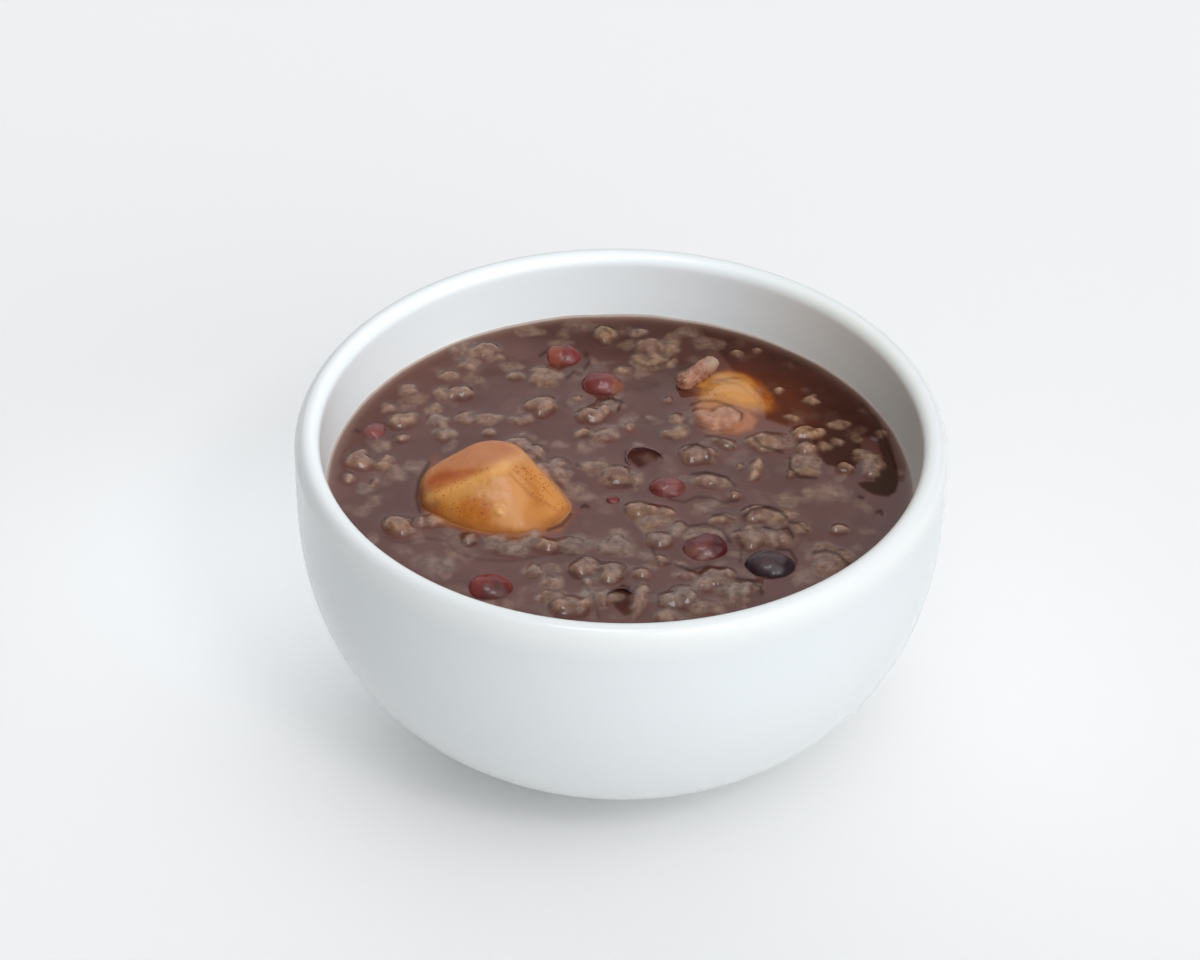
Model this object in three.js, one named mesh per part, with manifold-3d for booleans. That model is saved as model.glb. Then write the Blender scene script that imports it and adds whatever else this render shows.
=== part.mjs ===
// A glazed rice bowl of red bean porridge: soft rice grains, whole and split red beans
// and two peeled chestnuts that float in a thick red-brown soup.
// Millimetres, +Z up. The origin is the middle of the foot ring, on the table.
import * as THREE from 'three';
import { mergeVertices } from 'three/addons/utils/BufferGeometryUtils.js';
import Module from 'manifold-3d';

const wasm = await Module();
wasm.setup();

// ---- driving dimensions ----
const bowl = {
  height: 64,
  radius: 60,          // outside, at the belly
  bellyZ: 50.7,        // height of the widest ring of the belly curve
  poleZ: 2.8,          // where the belly curve would close under the bowl
  belly: { down: 2.19, out: 3.14 },   // powers of the belly curve
  mouthRadius: 55.4,   // inside, at the lip
  lip: { thickness: 4.8, drop: 3.4 }, // the drop is the height of the rounding outside
  well: { floorZ: 9, radius: 54.4 },  // hollow of the bowl, its radius at the soup
  foot: { radius: 28, width: 4, recess: 2.6, bevel: 0.8 },
  sides: 64,
};
const soup = { levelZ: 50.6, gap: 0.3, sides: 56, rings: 7, clearance: 0.35 };
const chestnut = { sides: 20, rings: 11, crispness: 14 };
const bean = { length: 8.6, width: 6.2, height: 5.8, sides: 10, rings: 6 };
const hull = { skin: 0.7, scoop: 1.5 };  // an empty skin: its wall, and how far the hollow sits above it
const grain = {
  sides: 6,
  rings: 4,
  length: [5.4, 2.8],    // first and last grain of each drift
  slender: [0.45, 0.75], // width over length
  rise: [0.55, 1.1],     // how far a grain stands out of the soup
  count: 130,
  tries: 60,             // places tried for each grain
  crowding: 0.52,        // smallest distance between two grains, over their lengths together
  wallRoom: 0.9,         // between a grain's end and the bowl
};

const colours = {
  glaze: 0xe6ecec, soup: 0x5a3a32, chestnut: 0xd9963f, bean: 0x6e2430, hull: 0x3a2220,
};

// ---- small helpers ----
// Seeded random numbers from 0 to 1, the same on each run.
function makeRandom(seed) {
  let state = seed;
  return () => {
    state = (state * 1664525 + 1013904223) % 4294967296;
    return state / 4294967296;
  };
}

const blend = (a, b, t) => a + (b - a) * t;
const radians = (degrees) => degrees * Math.PI / 180;

// A geometry with its shared corners merged, as a solid for cuts and joins.
function solidOf(geometry) {
  const bare = geometry.clone();
  bare.deleteAttribute('normal');
  bare.deleteAttribute('uv');
  const merged = mergeVertices(bare, 1e-5);
  return new wasm.Manifold(new wasm.Mesh({
    numProp: 3,
    vertProperties: new Float32Array(merged.attributes.position.array),
    triVerts: new Uint32Array(merged.index.array),
  }));
}

// The largest closed body of a solid, without the scraps that a cut leaves.
function geometryOf(solid) {
  const bodies = solid.decompose().sort((a, b) => b.volume() - a.volume());
  const mesh = bodies[0].getMesh();
  const geometry = new THREE.BufferGeometry();
  geometry.setAttribute('position', new THREE.BufferAttribute(mesh.vertProperties, 3));
  geometry.setIndex(new THREE.BufferAttribute(mesh.triVerts, 1));
  geometry.computeVertexNormals();
  return geometry;
}

// A closed profile, a list of [radius, height], turned round the Z axis.
function turned(profile, sides) {
  const points = profile.map(([r, z]) => new THREE.Vector2(r, z));
  return new THREE.LatheGeometry(points, sides).rotateX(Math.PI / 2);
}

// A ball whose corners are moved to reach(direction), a distance from its middle.
function moulded(sides, rings, reach) {
  const ball = new THREE.SphereGeometry(1, sides, rings).rotateX(Math.PI / 2);
  const position = ball.attributes.position;
  const direction = new THREE.Vector3();
  for (let i = 0; i < position.count; i += 1) {
    direction.fromBufferAttribute(position, i).normalize();
    direction.multiplyScalar(reach(direction));
    position.setXYZ(i, direction.x, direction.y, direction.z);
  }
  return ball;
}

// Distance to the skin of a rounded block whose sides are pared flat, along a direction d.
// Each facet is a direction and its distance from the middle. A boxy of 2 starts from an ellipsoid,
// and more squares it off.
function paredReach(radii, facets, crispness, boxy = 2) {
  const planes = facets.map(({ towards, at }) => ({ n: new THREE.Vector3(...towards).normalize(), at }));
  return (d) => {
    const powers = d.toArray().map((part, axis) => Math.abs(part / radii[axis]) ** boxy);
    const round = (powers[0] + powers[1] + powers[2]) ** (1 / boxy);
    const sum = planes.reduce((total, { n, at }) => total + Math.max(0, n.dot(d) / at) ** crispness,
      round ** crispness);
    return sum ** (-1 / crispness);
  };
}

// ---- bowl ----
// Radius of the belly curve at a height, for the outside and for the well inside.
function curveRadius(z, radius, topZ, poleZ) {
  if (z >= topZ) return radius;
  const depth = (topZ - z) / (topZ - poleZ);
  return radius * (1 - depth ** bowl.belly.down) ** (1 / bowl.belly.out);
}

const outerRadius = (z) => curveRadius(z, bowl.radius, bowl.bellyZ, bowl.poleZ);
const wellRadius = (z) => curveRadius(z, bowl.well.radius, soup.levelZ, bowl.well.floorZ);

// Height of a belly curve at a radius, the other way round.
function curveHeight(r, radius, topZ, poleZ) {
  const depth = (1 - (r / radius) ** bowl.belly.out) ** (1 / bowl.belly.down);
  return topZ - depth * (topZ - poleZ);
}

function bowlProfile() {
  const { foot, lip } = bowl;
  const profile = [];
  const steps = (count, point) => {
    for (let i = 0; i <= count; i += 1) profile.push(point(i / count));
  };
  // Under the bowl: the recess, the foot ring and up its outside to the belly.
  profile.push([0, foot.recess], [foot.radius - foot.width - foot.bevel, foot.recess]);
  profile.push([foot.radius - foot.width, 0], [foot.radius - foot.bevel, 0], [foot.radius, foot.bevel]);
  const shoulderZ = curveHeight(foot.radius + 1, bowl.radius, bowl.bellyZ, bowl.poleZ);
  steps(9, (t) => {
    const z = blend(shoulderZ, bowl.bellyZ, t ** 1.35);
    return [outerRadius(z), z];
  });
  // The lip: a taller rounding outside and a tight one inside.
  const half = lip.thickness / 2;
  const middle = bowl.mouthRadius + half;
  steps(4, (t) => {
    const angle = t * Math.PI / 2;
    return [middle + half * Math.cos(angle), bowl.height - lip.drop * (1 - Math.sin(angle))];
  });
  steps(3, (t) => {
    const angle = Math.PI / 2 * (1 - t);
    return [middle - half * Math.cos(angle), bowl.height - half * (1 - Math.sin(angle))];
  });
  // Down the inside to the middle of the floor.
  steps(7, (t) => {
    const z = blend(soup.levelZ, bowl.well.floorZ + 0.4, Math.sin(t * Math.PI / 2));
    return [wellRadius(z), z];
  });
  profile.push([0, bowl.well.floorZ]);
  return profile;
}

// ---- chestnuts ----
// Where each floats, where the knife pared it flat, and the radius that shows above the soup.
const chestnuts = {
  chestnut_front: {
    at: [-22.7, -3.5, 49.4], turn: 0, size: [28.8, 24.8, 21.6], boxy: 2.5, shown: 15,
    facets: [
      { towards: [0.08, 0.18, 0.98], at: 9.5 },
      { towards: [-0.36, -0.08, 0.93], at: 9.55 },
      { towards: [-0.12, -0.6, 0.79], at: 9.3 },
      { towards: [0.45, -0.4, 0.8], at: 9.8 },
      { towards: [0.74, 0.42, 0.53], at: 9.9 },
      { towards: [-0.5, 0.66, 0.56], at: 11.8 },
      { towards: [-0.5, -0.82, 0.28], at: 11.9 },
      { towards: [0.1, 0.95, 0.3], at: 11.2 },
      { towards: [0, 0, -1], at: 9.5 },
    ],
  },
  chestnut_back: {
    at: [21.5, 28, 41.8], turn: 24, size: [28.5, 24.5, 21], boxy: 2, shown: 6,
    facets: [
      { towards: [-0.15, -0.3, 0.94], at: 9.6 },
      { towards: [0.75, 0.1, 0.65], at: 9.9 },
      { towards: [-0.7, 0.3, 0.62], at: 10.8 },
      { towards: [0.1, -0.95, 0.3], at: 10.4 },
      { towards: [0, 0, -1], at: 9.2 },
    ],
  },
};

function chestnutShape({ size, facets, boxy }, margin) {
  const radii = size.map((side) => side / 2 + margin);
  const pared = facets.map(({ towards, at }) => ({ towards, at: at + margin }));
  return moulded(chestnut.sides, chestnut.rings, paredReach(radii, pared, chestnut.crispness, boxy));
}

// ---- beans ----
// Each lies with its length level, turned about Z and tipped, and shows its back.
const beans = {
  bean_back_split: { at: [-11.2, 40.6, 50.2], turn: 8, tip: 4, scale: 0.92 },
  bean_back: { at: [-3.7, 31.6, 49.7], turn: -10, tip: 0, scale: 1.1 },
  bean_left: { at: [-46, 16.2, 48.9], turn: 60, tip: 20, scale: 0.92 },
  bean_centre: { at: [8.6, -0.4, 49.8], turn: 5, tip: 0, scale: 0.96 },
  bean_scrap: { at: [-1.4, -4.2, 50.2], turn: 20, tip: 0, scale: 0.36 },
  bean_right_red: { at: [15.5, -18.4, 49.4], turn: 24, tip: -6, scale: 1.2 },
  bean_right_dark: { at: [27.2, -23, 49.1], turn: -6, tip: 4, scale: 1.32 },
  bean_front: { at: [-23.2, -30.8, 49.4], turn: 4, tip: 10, scale: 1.16 },
};
// Empty skins, open at the top like a boat.
const hulls = {
  hull_centre: { at: [4.3, 8.6, 50], turn: -14, tip: 0, scale: 1 },
  hull_front: { at: [0.2, -33.6, 50], turn: 78, tip: 14, scale: 0.9 },
};

function beanShape(scale, margin) {
  const radii = [bean.length, bean.width, bean.height].map((size) => size * scale / 2 + margin);
  const ends = [1, -1].map((side) => ({ towards: [side, 0, 0], at: radii[0] * 0.96 }));
  return moulded(bean.sides, bean.rings, paredReach(radii, ends, 5));
}

function placed(geometry, { at, turn, tip = 0 }) {
  geometry.rotateY(radians(tip));
  geometry.rotateZ(radians(turn));
  return geometry.translate(...at);
}

function hullShape(row) {
  const skin = solidOf(placed(beanShape(row.scale, 0), row));
  const hollow = placed(beanShape(row.scale, -hull.skin), row).translate(0, 0, hull.scoop);
  return geometryOf(skin.subtract(solidOf(hollow)));
}

// ---- porridge ----
// Clumps and long grains that stand out most: middle, length, width, turn and height.
const clumps = [
  { at: [7, 43.5], length: 5.8, width: 4.4, turn: 0, rise: 1.1 },
  { at: [5.8, 38.6], length: 7.7, width: 4.2, turn: 4, rise: 0.9 },
  { at: [13.4, 34.4], length: 10, width: 3.4, turn: 42, rise: 1.9 },
  { at: [18, 20.8], length: 9.2, width: 6, turn: -4, rise: 1.3 },
  { at: [14.5, 10], length: 5.2, width: 4.6, turn: 0, rise: 1.2 },
  { at: [17, 1.6], length: 8.6, width: 3.8, turn: -9, rise: 1.3 },
  { at: [28, 14], length: 5.8, width: 4, turn: 10, rise: 1.1 },
  { at: [34.5, 8], length: 5, width: 4.6, turn: 60, rise: 1.2 },
  { at: [35, 16.2], length: 4.4, width: 3.6, turn: 0, rise: 1.2 },
  { at: [46.2, 8.2], length: 5, width: 3.8, turn: -60, rise: 0.9 },
  { at: [-27, 41.2], length: 7.4, width: 4, turn: 6, rise: 1.2 },
  { at: [-32, 28], length: 5.2, width: 4, turn: 20, rise: 1.1 },
  { at: [-14.5, 32.8], length: 4.8, width: 4.2, turn: 30, rise: 1.1 },
  { at: [-4, 22.6], length: 6.8, width: 3.8, turn: 24, rise: 1.1 },
  { at: [0.4, 2.4], length: 6.4, width: 4.6, turn: 0, rise: 1.2 },
  { at: [4.6, -9.6], length: 6.2, width: 5, turn: -10, rise: 1.3 },
  { at: [26.6, -8.8], length: 7.6, width: 4, turn: -4, rise: 1.1 },
  { at: [25.4, -14.6], length: 6.2, width: 4.6, turn: 8, rise: 1.2 },
  { at: [38, -21], length: 5.8, width: 5.2, turn: 0, rise: 1.2 },
  { at: [-21, -19], length: 5.2, width: 4.6, turn: 0, rise: 1.2 },
  { at: [-33.4, -24.8], length: 7, width: 3.6, turn: -16, rise: 0.9 },
  { at: [-5.2, -25.8], length: 5.2, width: 5, turn: 40, rise: 1.5 },
  { at: [-0.6, -25.6], length: 4.6, width: 3.6, turn: 80, rise: 1.4 },
  { at: [3.5, -33.4], length: 8.4, width: 3.2, turn: 84, rise: 1.5 },
  { at: [11, -32.6], length: 6.6, width: 4.2, turn: 30, rise: 1.4 },
  { at: [17.2, -27.5], length: 5.2, width: 4.4, turn: 20, rise: 1.3 },
  { at: [23.4, -30.6], length: 5.6, width: 4.6, turn: 10, rise: 1.2 },
  { at: [-8.8, -35.8], length: 5.8, width: 4.4, turn: -12, rise: 1.3 },
];
// The scattered grains gather in drifts: middle, spread and share of all grains.
const drifts = [
  { at: [2, -24], spread: 17, share: 0.3 },
  { at: [-33, 16], spread: 14, share: 0.2 },
  { at: [-6, 26], spread: 15, share: 0.16 },
  { at: [33, 8], spread: 11, share: 0.12 },
  { at: [12, 6], spread: 16, share: 0.12 },
  { at: [24, -24], spread: 14, share: 0.1 },
];

// A grain lying level, its middle a little under the soup so that its back shows.
function grainShape({ at, length, width, turn, rise }) {
  const height = Math.max(width * 0.8, rise * 1.6);  // deep enough to reach into the soup
  const shape = new THREE.SphereGeometry(0.5, grain.sides, grain.rings).rotateX(Math.PI / 2);
  shape.scale(length, width, height);
  shape.rotateZ(radians(turn));
  return shape.translate(at[0], at[1], soup.levelZ + rise - height / 2);
}

// True where a grain would cross the wall, a chestnut, a bean or another grain.
function isCrowded(row, grains, keepOff) {
  if (Math.hypot(...row.at) + row.length / 2 > bowl.well.radius - grain.wallRoom) return true;
  const near = (other, distance) => Math.hypot(row.at[0] - other.at[0], row.at[1] - other.at[1]) < distance;
  if (keepOff.some((piece) => near(piece, piece.reach + row.length / 2))) return true;
  return grains.some((other) => near(other, grain.crowding * (other.length + row.length)));
}

function scatterGrains(keepOff) {
  const random = makeRandom(20);
  const grains = [...clumps];
  for (const { at, spread, share } of drifts) {
    const target = Math.round(grain.count * share);
    for (let made = 0, tries = 0; made < target && tries < target * grain.tries; tries += 1) {
      const distance = spread * Math.sqrt(-Math.log(1 - random()));
      const bearing = random() * 2 * Math.PI;
      const length = blend(...grain.length, made / target);
      const row = {
        at: [at[0] + distance * Math.cos(bearing), at[1] + distance * Math.sin(bearing)],
        length,
        width: length * blend(...grain.slender, random()),
        turn: random() * 180,
        rise: blend(...grain.rise, random()),
      };
      if (!isCrowded(row, grains, keepOff)) {
        grains.push(row);
        made += 1;
      }
    }
  }
  return grains;
}

function porridgeShape() {
  const core = [[0, bowl.well.floorZ + soup.gap]];
  for (let i = soup.rings; i >= 0; i -= 1) {
    const z = blend(soup.levelZ, bowl.well.floorZ + 0.6, Math.sin(i / soup.rings * Math.PI / 2));
    core.push([wellRadius(z) - soup.gap, Math.min(z + soup.gap, soup.levelZ)]);
  }
  core.push([0, soup.levelZ]);
  const smallPieces = Object.values({ ...beans, ...hulls });
  const keepOff = [
    ...Object.values(chestnuts).map(({ at, shown }) => ({ at, reach: shown })),
    ...smallPieces.map(({ at, scale }) => ({ at, reach: bean.width * scale / 2 })),
  ];
  const grains = scatterGrains(keepOff).map((row) => solidOf(grainShape(row)));
  const pockets = [
    ...Object.values(chestnuts).map((row) => placed(chestnutShape(row, soup.clearance), row)),
    ...smallPieces.map((row) => placed(beanShape(row.scale, soup.clearance), row)),
  ].map(solidOf);
  const full = wasm.Manifold.union([solidOf(turned(core, soup.sides)), ...grains]);
  return geometryOf(full.subtract(wasm.Manifold.union(pockets)));
}

// ---- the whole ----
const group = new THREE.Group();

function add(name, geometry, color, roughness) {
  const material = new THREE.MeshStandardMaterial({ color, roughness, metalness: 0 });
  const mesh = new THREE.Mesh(geometry, material);
  mesh.name = name;
  group.add(mesh);
}

add('bowl', turned(bowlProfile(), bowl.sides), colours.glaze, 0.12);
add('porridge', porridgeShape(), colours.soup, 0.15);
for (const [name, row] of Object.entries(chestnuts)) {
  add(name, placed(chestnutShape(row, 0), row), colours.chestnut, 0.25);
}
for (const [name, row] of Object.entries(beans)) {
  add(name, placed(beanShape(row.scale, 0), row), colours.bean, 0.2);
}
for (const [name, row] of Object.entries(hulls)) {
  add(name, hullShape(row), colours.hull, 0.25);
}

export default group;
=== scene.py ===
import math

import bmesh
import bpy
import numpy as np
from mathutils import Matrix, Vector, noise
from mathutils.bvhtree import BVHTree


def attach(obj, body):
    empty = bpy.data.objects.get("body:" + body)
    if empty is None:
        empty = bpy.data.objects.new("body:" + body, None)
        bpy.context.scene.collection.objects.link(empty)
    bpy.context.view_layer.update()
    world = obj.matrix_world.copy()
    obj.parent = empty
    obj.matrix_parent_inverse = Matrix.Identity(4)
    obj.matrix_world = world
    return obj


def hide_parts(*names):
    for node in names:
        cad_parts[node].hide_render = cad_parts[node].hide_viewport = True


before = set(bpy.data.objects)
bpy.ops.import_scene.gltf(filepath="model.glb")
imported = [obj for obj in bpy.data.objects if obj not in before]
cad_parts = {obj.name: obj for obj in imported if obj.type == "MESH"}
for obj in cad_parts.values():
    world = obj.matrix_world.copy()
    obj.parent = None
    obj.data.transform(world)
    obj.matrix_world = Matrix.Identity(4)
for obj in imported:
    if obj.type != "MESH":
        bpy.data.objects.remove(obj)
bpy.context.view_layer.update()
mm = 0.001
print("frame loaded")

# The photograph's camera. Its pixels also place what floats in the bowl.
photoCamera = {
    "pitch": 37.22,             # degrees below the horizon
    "roll": 0.905,              # degrees
    "distance": 900.0,          # mm from the aim point
    "aim": (0.0, 0.0, 33.0),    # mm, a point on the bowl's axis
    "aimPixel": (619.2, 561.2),
    "focalPixels": 4810.0,
    "framePixels": (1200, 960),
}


def photoAxes():
    pitch = math.radians(photoCamera["pitch"])
    roll = math.radians(photoCamera["roll"])
    forward = Vector((0, math.cos(pitch), -math.sin(pitch)))
    level = Vector((1, 0, 0))
    upright = level.cross(forward)
    right = math.cos(roll) * level + math.sin(roll) * upright
    up = -math.sin(roll) * level + math.cos(roll) * upright
    return forward, right, up


def photoEye():
    forward, right, up = photoAxes()
    perPixel = photoCamera["distance"] / photoCamera["focalPixels"]
    width, height = photoCamera["framePixels"]
    across = (photoCamera["aimPixel"][0] - width / 2) * perPixel
    down = (photoCamera["aimPixel"][1] - height / 2) * perPixel
    aim = Vector(photoCamera["aim"])
    return aim - forward * photoCamera["distance"] - right * across + up * down


def photoSpot(px, py, z):
    # The point, in mm, that a pixel of the photograph shows on the level z.
    forward, right, up = photoAxes()
    width, height = photoCamera["framePixels"]
    focal = photoCamera["focalPixels"]
    ray = forward + right * ((px - width / 2) / focal) - up * ((py - height / 2) / focal)
    eye = photoEye()
    return eye + ray * ((z - eye.z) / ray.z)


def photoPixels(points):
    # Where points, in mm, show in the photograph.
    forward, right, up = (np.array(axis) for axis in photoAxes())
    away = points - np.array(photoEye())
    focal = photoCamera["focalPixels"] / (away @ forward)
    width, height = photoCamera["framePixels"]
    return width / 2 + focal * (away @ right), height / 2 - focal * (away @ up)


def softPatch(px, py, outline, soft):
    # 1 inside a convex outline of pixels, given clockwise, and 0 outside.
    inside = np.full(px.shape, np.inf)
    for (ax, ay), (bx, by) in zip(outline, outline[1:] + outline[:1]):
        side = (bx - ax) * (py - ay) - (by - ay) * (px - ax)
        inside = np.minimum(inside, side / math.hypot(bx - ax, by - ay))
    blend = np.clip(0.5 + inside / soft, 0, 1)
    return blend * blend * (3 - 2 * blend)


def softStroke(px, py, ends, width):
    # 1 on the line through some pixels, fading over the width.
    nearest = np.full(px.shape, np.inf)
    for (ax, ay), (bx, by) in zip(ends, ends[1:]):
        dx, dy = bx - ax, by - ay
        along = np.clip(((px - ax) * dx + (py - ay) * dy) / (dx * dx + dy * dy), 0, 1)
        nearest = np.minimum(nearest, np.hypot(px - ax - along * dx, py - ay - along * dy))
    return np.exp(-(nearest / width) ** 2)


def painted(points, base, patches, strokes):
    # Colours at points given in mm: a base, then soft patches and strokes placed in pixels.
    px, py = photoPixels(points)
    colour = np.tile(base, (len(points), 1))
    for outline, soft, shade in patches.values():
        share = softPatch(px, py, outline, soft)[:, None]
        colour = colour * (1 - share) + np.array(shade) * share
    for ends, width, strength, shade in strokes.values():
        share = strength * softStroke(px, py, ends, width)[:, None]
        colour = colour * (1 - share) + np.array(shade) * share
    return colour


def addCamera():
    forward, right, up = photoAxes()
    lens = bpy.data.cameras.new("photoCamera")
    lens.lens = lens.sensor_width * photoCamera["focalPixels"] / photoCamera["framePixels"][0]
    camera = bpy.data.objects.new("photoCamera", lens)
    turn = Matrix((right, up, -forward)).transposed()
    camera.matrix_world = Matrix.Translation(photoEye() * mm) @ turn.to_4x4()
    bpy.context.scene.collection.objects.link(camera)
    bpy.context.scene.camera = camera


class Wire:
    # A socket of a node tree, or the tree alone, with arithmetic that adds nodes.
    def __init__(self, tree, socket=None):
        self.tree = tree
        self.socket = socket

    def node(self, kind, settings=None, sockets=None, output=0):
        made = self.tree.nodes.new(kind)
        for key, value in (settings or {}).items():
            setattr(made, key, value)
        for key, value in (sockets or {}).items():
            self.feed(made.inputs[key], value)
        return Wire(self.tree, made.outputs[output])

    def feed(self, target, value):
        if isinstance(value, Wire):
            self.tree.links.new(value.socket, target)
        elif isinstance(value, tuple) and target.type == "RGBA" and len(value) == 3:
            target.default_value = (*value, 1)
        else:
            target.default_value = value

    def maths(self, operation, *values, clamped=False):
        return self.node("ShaderNodeMath", {"operation": operation, "use_clamp": clamped},
                         dict(enumerate(values)))

    def __add__(self, other):
        return self.maths("ADD", self, other)

    def __radd__(self, other):
        return self.maths("ADD", other, self)

    def __sub__(self, other):
        return self.maths("SUBTRACT", self, other)

    def __rsub__(self, other):
        return self.maths("SUBTRACT", other, self)

    def __mul__(self, other):
        return self.maths("MULTIPLY", self, other)

    def __rmul__(self, other):
        return self.maths("MULTIPLY", other, self)

    def __pow__(self, other):
        return self.maths("POWER", self, other)

    def shaded(self, amount):
        # A colour times a number.
        return self.node("ShaderNodeVectorMath", {"operation": "SCALE"}, {0: self, "Scale": amount})

    def most(self, other):
        return self.maths("MAXIMUM", self, other)

    def length(self):
        return self.node("ShaderNodeVectorMath", {"operation": "LENGTH"}, {0: self}, output=1)

    def clipped(self):
        return self.maths("ADD", self, 0.0, clamped=True)

    def rise(self, low, high):
        # 0 below low, 1 above high and a smooth slope between.
        return self.node("ShaderNodeMapRange", {"interpolation_type": "SMOOTHSTEP"},
                         {"Value": self, "From Min": low, "From Max": high})

    def blend(self, first, second):
        # A colour: the first where this is 0, the second where it is 1.
        return self.node("ShaderNodeMix", {"data_type": "RGBA"},
                         {"Factor": self, 6: first, 7: second}, output=2)


class Finish(Wire):
    # A material, whose Principled shader starts with fixed values.
    def __init__(self, name, **fixed):
        self.material = bpy.data.materials.new(name)
        self.material.use_nodes = True
        super().__init__(self.material.node_tree)
        self.shader = self.tree.nodes["Principled BSDF"]
        for key, value in fixed.items():
            self.set(key, value)

    def set(self, key, value):
        words = "".join(" " + c if c.isupper() else c for c in key).title()
        name = words.replace("Ior", "IOR").strip()
        self.feed(self.shader.inputs[name], value)

    def place(self):
        return self.node("ShaderNodeTexCoord", output=3)

    def axis(self, index):
        # How far along X, Y or Z a point lies, in metres.
        return self.node("ShaderNodeSeparateXYZ", None, {"Vector": self.place()}, output=index)

    def attribute(self, name):
        return self.node("ShaderNodeAttribute", {"attribute_name": name}, output=2)

    def paint(self, name):
        return self.node("ShaderNodeAttribute", {"attribute_name": name})

    def cloud(self, scale, detail=2.0, roughness=0.5, distortion=0.0):
        # Soft noise about 0.5; the scale is in cells per metre.
        return self.node("ShaderNodeTexNoise", None, {
            "Vector": self.place(), "Scale": scale, "Detail": detail,
            "Roughness": roughness, "Distortion": distortion})

    def raised(self, height, distance, strength=1.0):
        bump = self.node("ShaderNodeBump", None, {
            "Height": height, "Distance": distance, "Strength": strength})
        self.set("normal", bump)


def objectFrom(bm, name, material):
    mesh = bpy.data.meshes.new(name)
    bm.to_mesh(mesh)
    bm.free()
    mesh.shade_smooth()
    mesh.materials.append(material)
    made = bpy.data.objects.new(name, mesh)
    bpy.context.scene.collection.objects.link(made)
    return made


def fitted(piece, slot, *nodes):
    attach(piece, "root")
    if nodes:
        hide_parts(*nodes)


def setAttribute(mesh, name, values):
    layer = mesh.attributes.new(name, "FLOAT", "POINT")
    layer.data.foreach_set("value", np.asarray(values, np.float32))


def setColours(mesh, name, values):
    layer = mesh.attributes.new(name, "FLOAT_COLOR", "POINT")
    full = np.ones((len(values), 4), np.float32)
    full[:, :3] = values
    layer.data.foreach_set("color", full.ravel())


def corners(mesh):
    flat = np.empty(len(mesh.vertices) * 3)
    mesh.vertices.foreach_get("co", flat)
    return flat.reshape(-1, 3)


# The bowl. All sizes here and below are in mm.
bowl = {
    "height": 64.0, "radius": 60.0, "bellyZ": 50.7, "poleZ": 2.8, "bellyDown": 2.19, "bellyOut": 3.14,
    "mouthRadius": 55.4, "lipThickness": 4.8, "lipDrop": 3.4,
    "wellRadius": 54.4, "wellFloor": 9.0,
    "footRadius": 28.0, "footWidth": 4.0, "footRecess": 2.6, "footBevel": 0.8,
    "bandZ": 56.0, "straightZ": 60.0,   # the wall is straight from the band up to the lip
    "steps": 48, "footSteps": 12, "lipSteps": 5, "wellSteps": 10,
}
glazeLook = {
    "outerShades": ((0.738, 0.768, 0.773), (0.758, 0.785, 0.788)),
    # The lip's top is painted paler than the wall below: painted light where the rim catches the light.
    "lipShade": (0.81, 0.818, 0.81), "lipRise": (0.0565, 0.0625),     # metres above the table
    # The well is painted paler and bluer than the outside of the same glaze: painted light, for the cool
    # light that falls into it.
    "wellShade": (0.955, 0.992, 1.0), "wellRise": (0.040, 0.046), "wellEdge": (0.0560, 0.0578),
    "wellShadowTint": (0.93, 0.925, 0.875), "wellShadowSide": (0.015, 0.045),   # painted shade on the right of the well, warmed by the soup's bounce
    "roughness": 0.16, "smears": 0.10, "dents": 0.0012,
}
soupLevel = 50.6


def curveRadius(z, radius, topZ, poleZ):
    if z >= topZ:
        return radius
    depth = (topZ - z) / (topZ - poleZ)
    return radius * (1 - depth ** bowl["bellyDown"]) ** (1 / bowl["bellyOut"])


def curveHeight(r, radius, topZ, poleZ):
    depth = (1 - (r / radius) ** bowl["bellyOut"]) ** (1 / bowl["bellyDown"])
    return topZ - depth * (topZ - poleZ)


def wellAt(z):
    return curveRadius(z, bowl["wellRadius"], soupLevel, bowl["wellFloor"])


def bowlProfile():
    # Radius and height along the skin, from the middle of the underside to the middle of the well.
    foot, recess, bevel = bowl["footRadius"], bowl["footRecess"], bowl["footBevel"]
    inner = foot - bowl["footWidth"]
    profile = [(0, recess), (inner * 0.5, recess), (inner - 2.2, recess), (inner - 0.9, recess - 0.5),
               (inner - 0.3, 0.9), (inner + 0.4, 0.1), (inner + 1.2, 0), (foot - bevel - 0.6, 0),
               (foot - bevel * 0.3, 0.25), (foot, 1.2), (foot + 0.1, 3.2)]
    shoulder = curveHeight(foot + 2.2, bowl["radius"], bowl["bellyZ"], bowl["poleZ"])
    profile.append((foot + 0.7, shoulder - 0.35))
    for step in range(bowl["footSteps"] + 1):
        z = shoulder + (bowl["bellyZ"] - shoulder) * (step / bowl["footSteps"]) ** 1.35
        profile.append((curveRadius(z, bowl["radius"], bowl["bellyZ"], bowl["poleZ"]), z))
    half = bowl["lipThickness"] / 2
    middle = bowl["mouthRadius"] + half
    profile.append((bowl["radius"] + 0.1, bowl["bandZ"]))
    # The lip is rounder inside than outside.
    quarter = [math.pi / 2 * step / bowl["lipSteps"] for step in range(bowl["lipSteps"] + 1)]
    profile += [(middle + half * math.cos(turn), bowl["height"] - bowl["lipDrop"] * (1 - math.sin(turn)))
                for turn in quarter]
    profile += [(middle - half * math.cos(turn), bowl["height"] - half * (1 - math.sin(turn)))
                for turn in quarter[-2::-1]]
    profile += [(bowl["mouthRadius"] - 0.1, bowl["straightZ"]),
                (bowl["mouthRadius"] - 0.35, bowl["bandZ"] + 0.5)]
    for step in range(bowl["wellSteps"] + 1):
        depth = math.sin(step / bowl["wellSteps"] * math.pi / 2)
        z = soupLevel + (bowl["wellFloor"] + 0.35 - soupLevel) * depth
        profile.append((wellAt(z), z))
    profile.append((0, bowl["wellFloor"]))
    return profile


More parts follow.
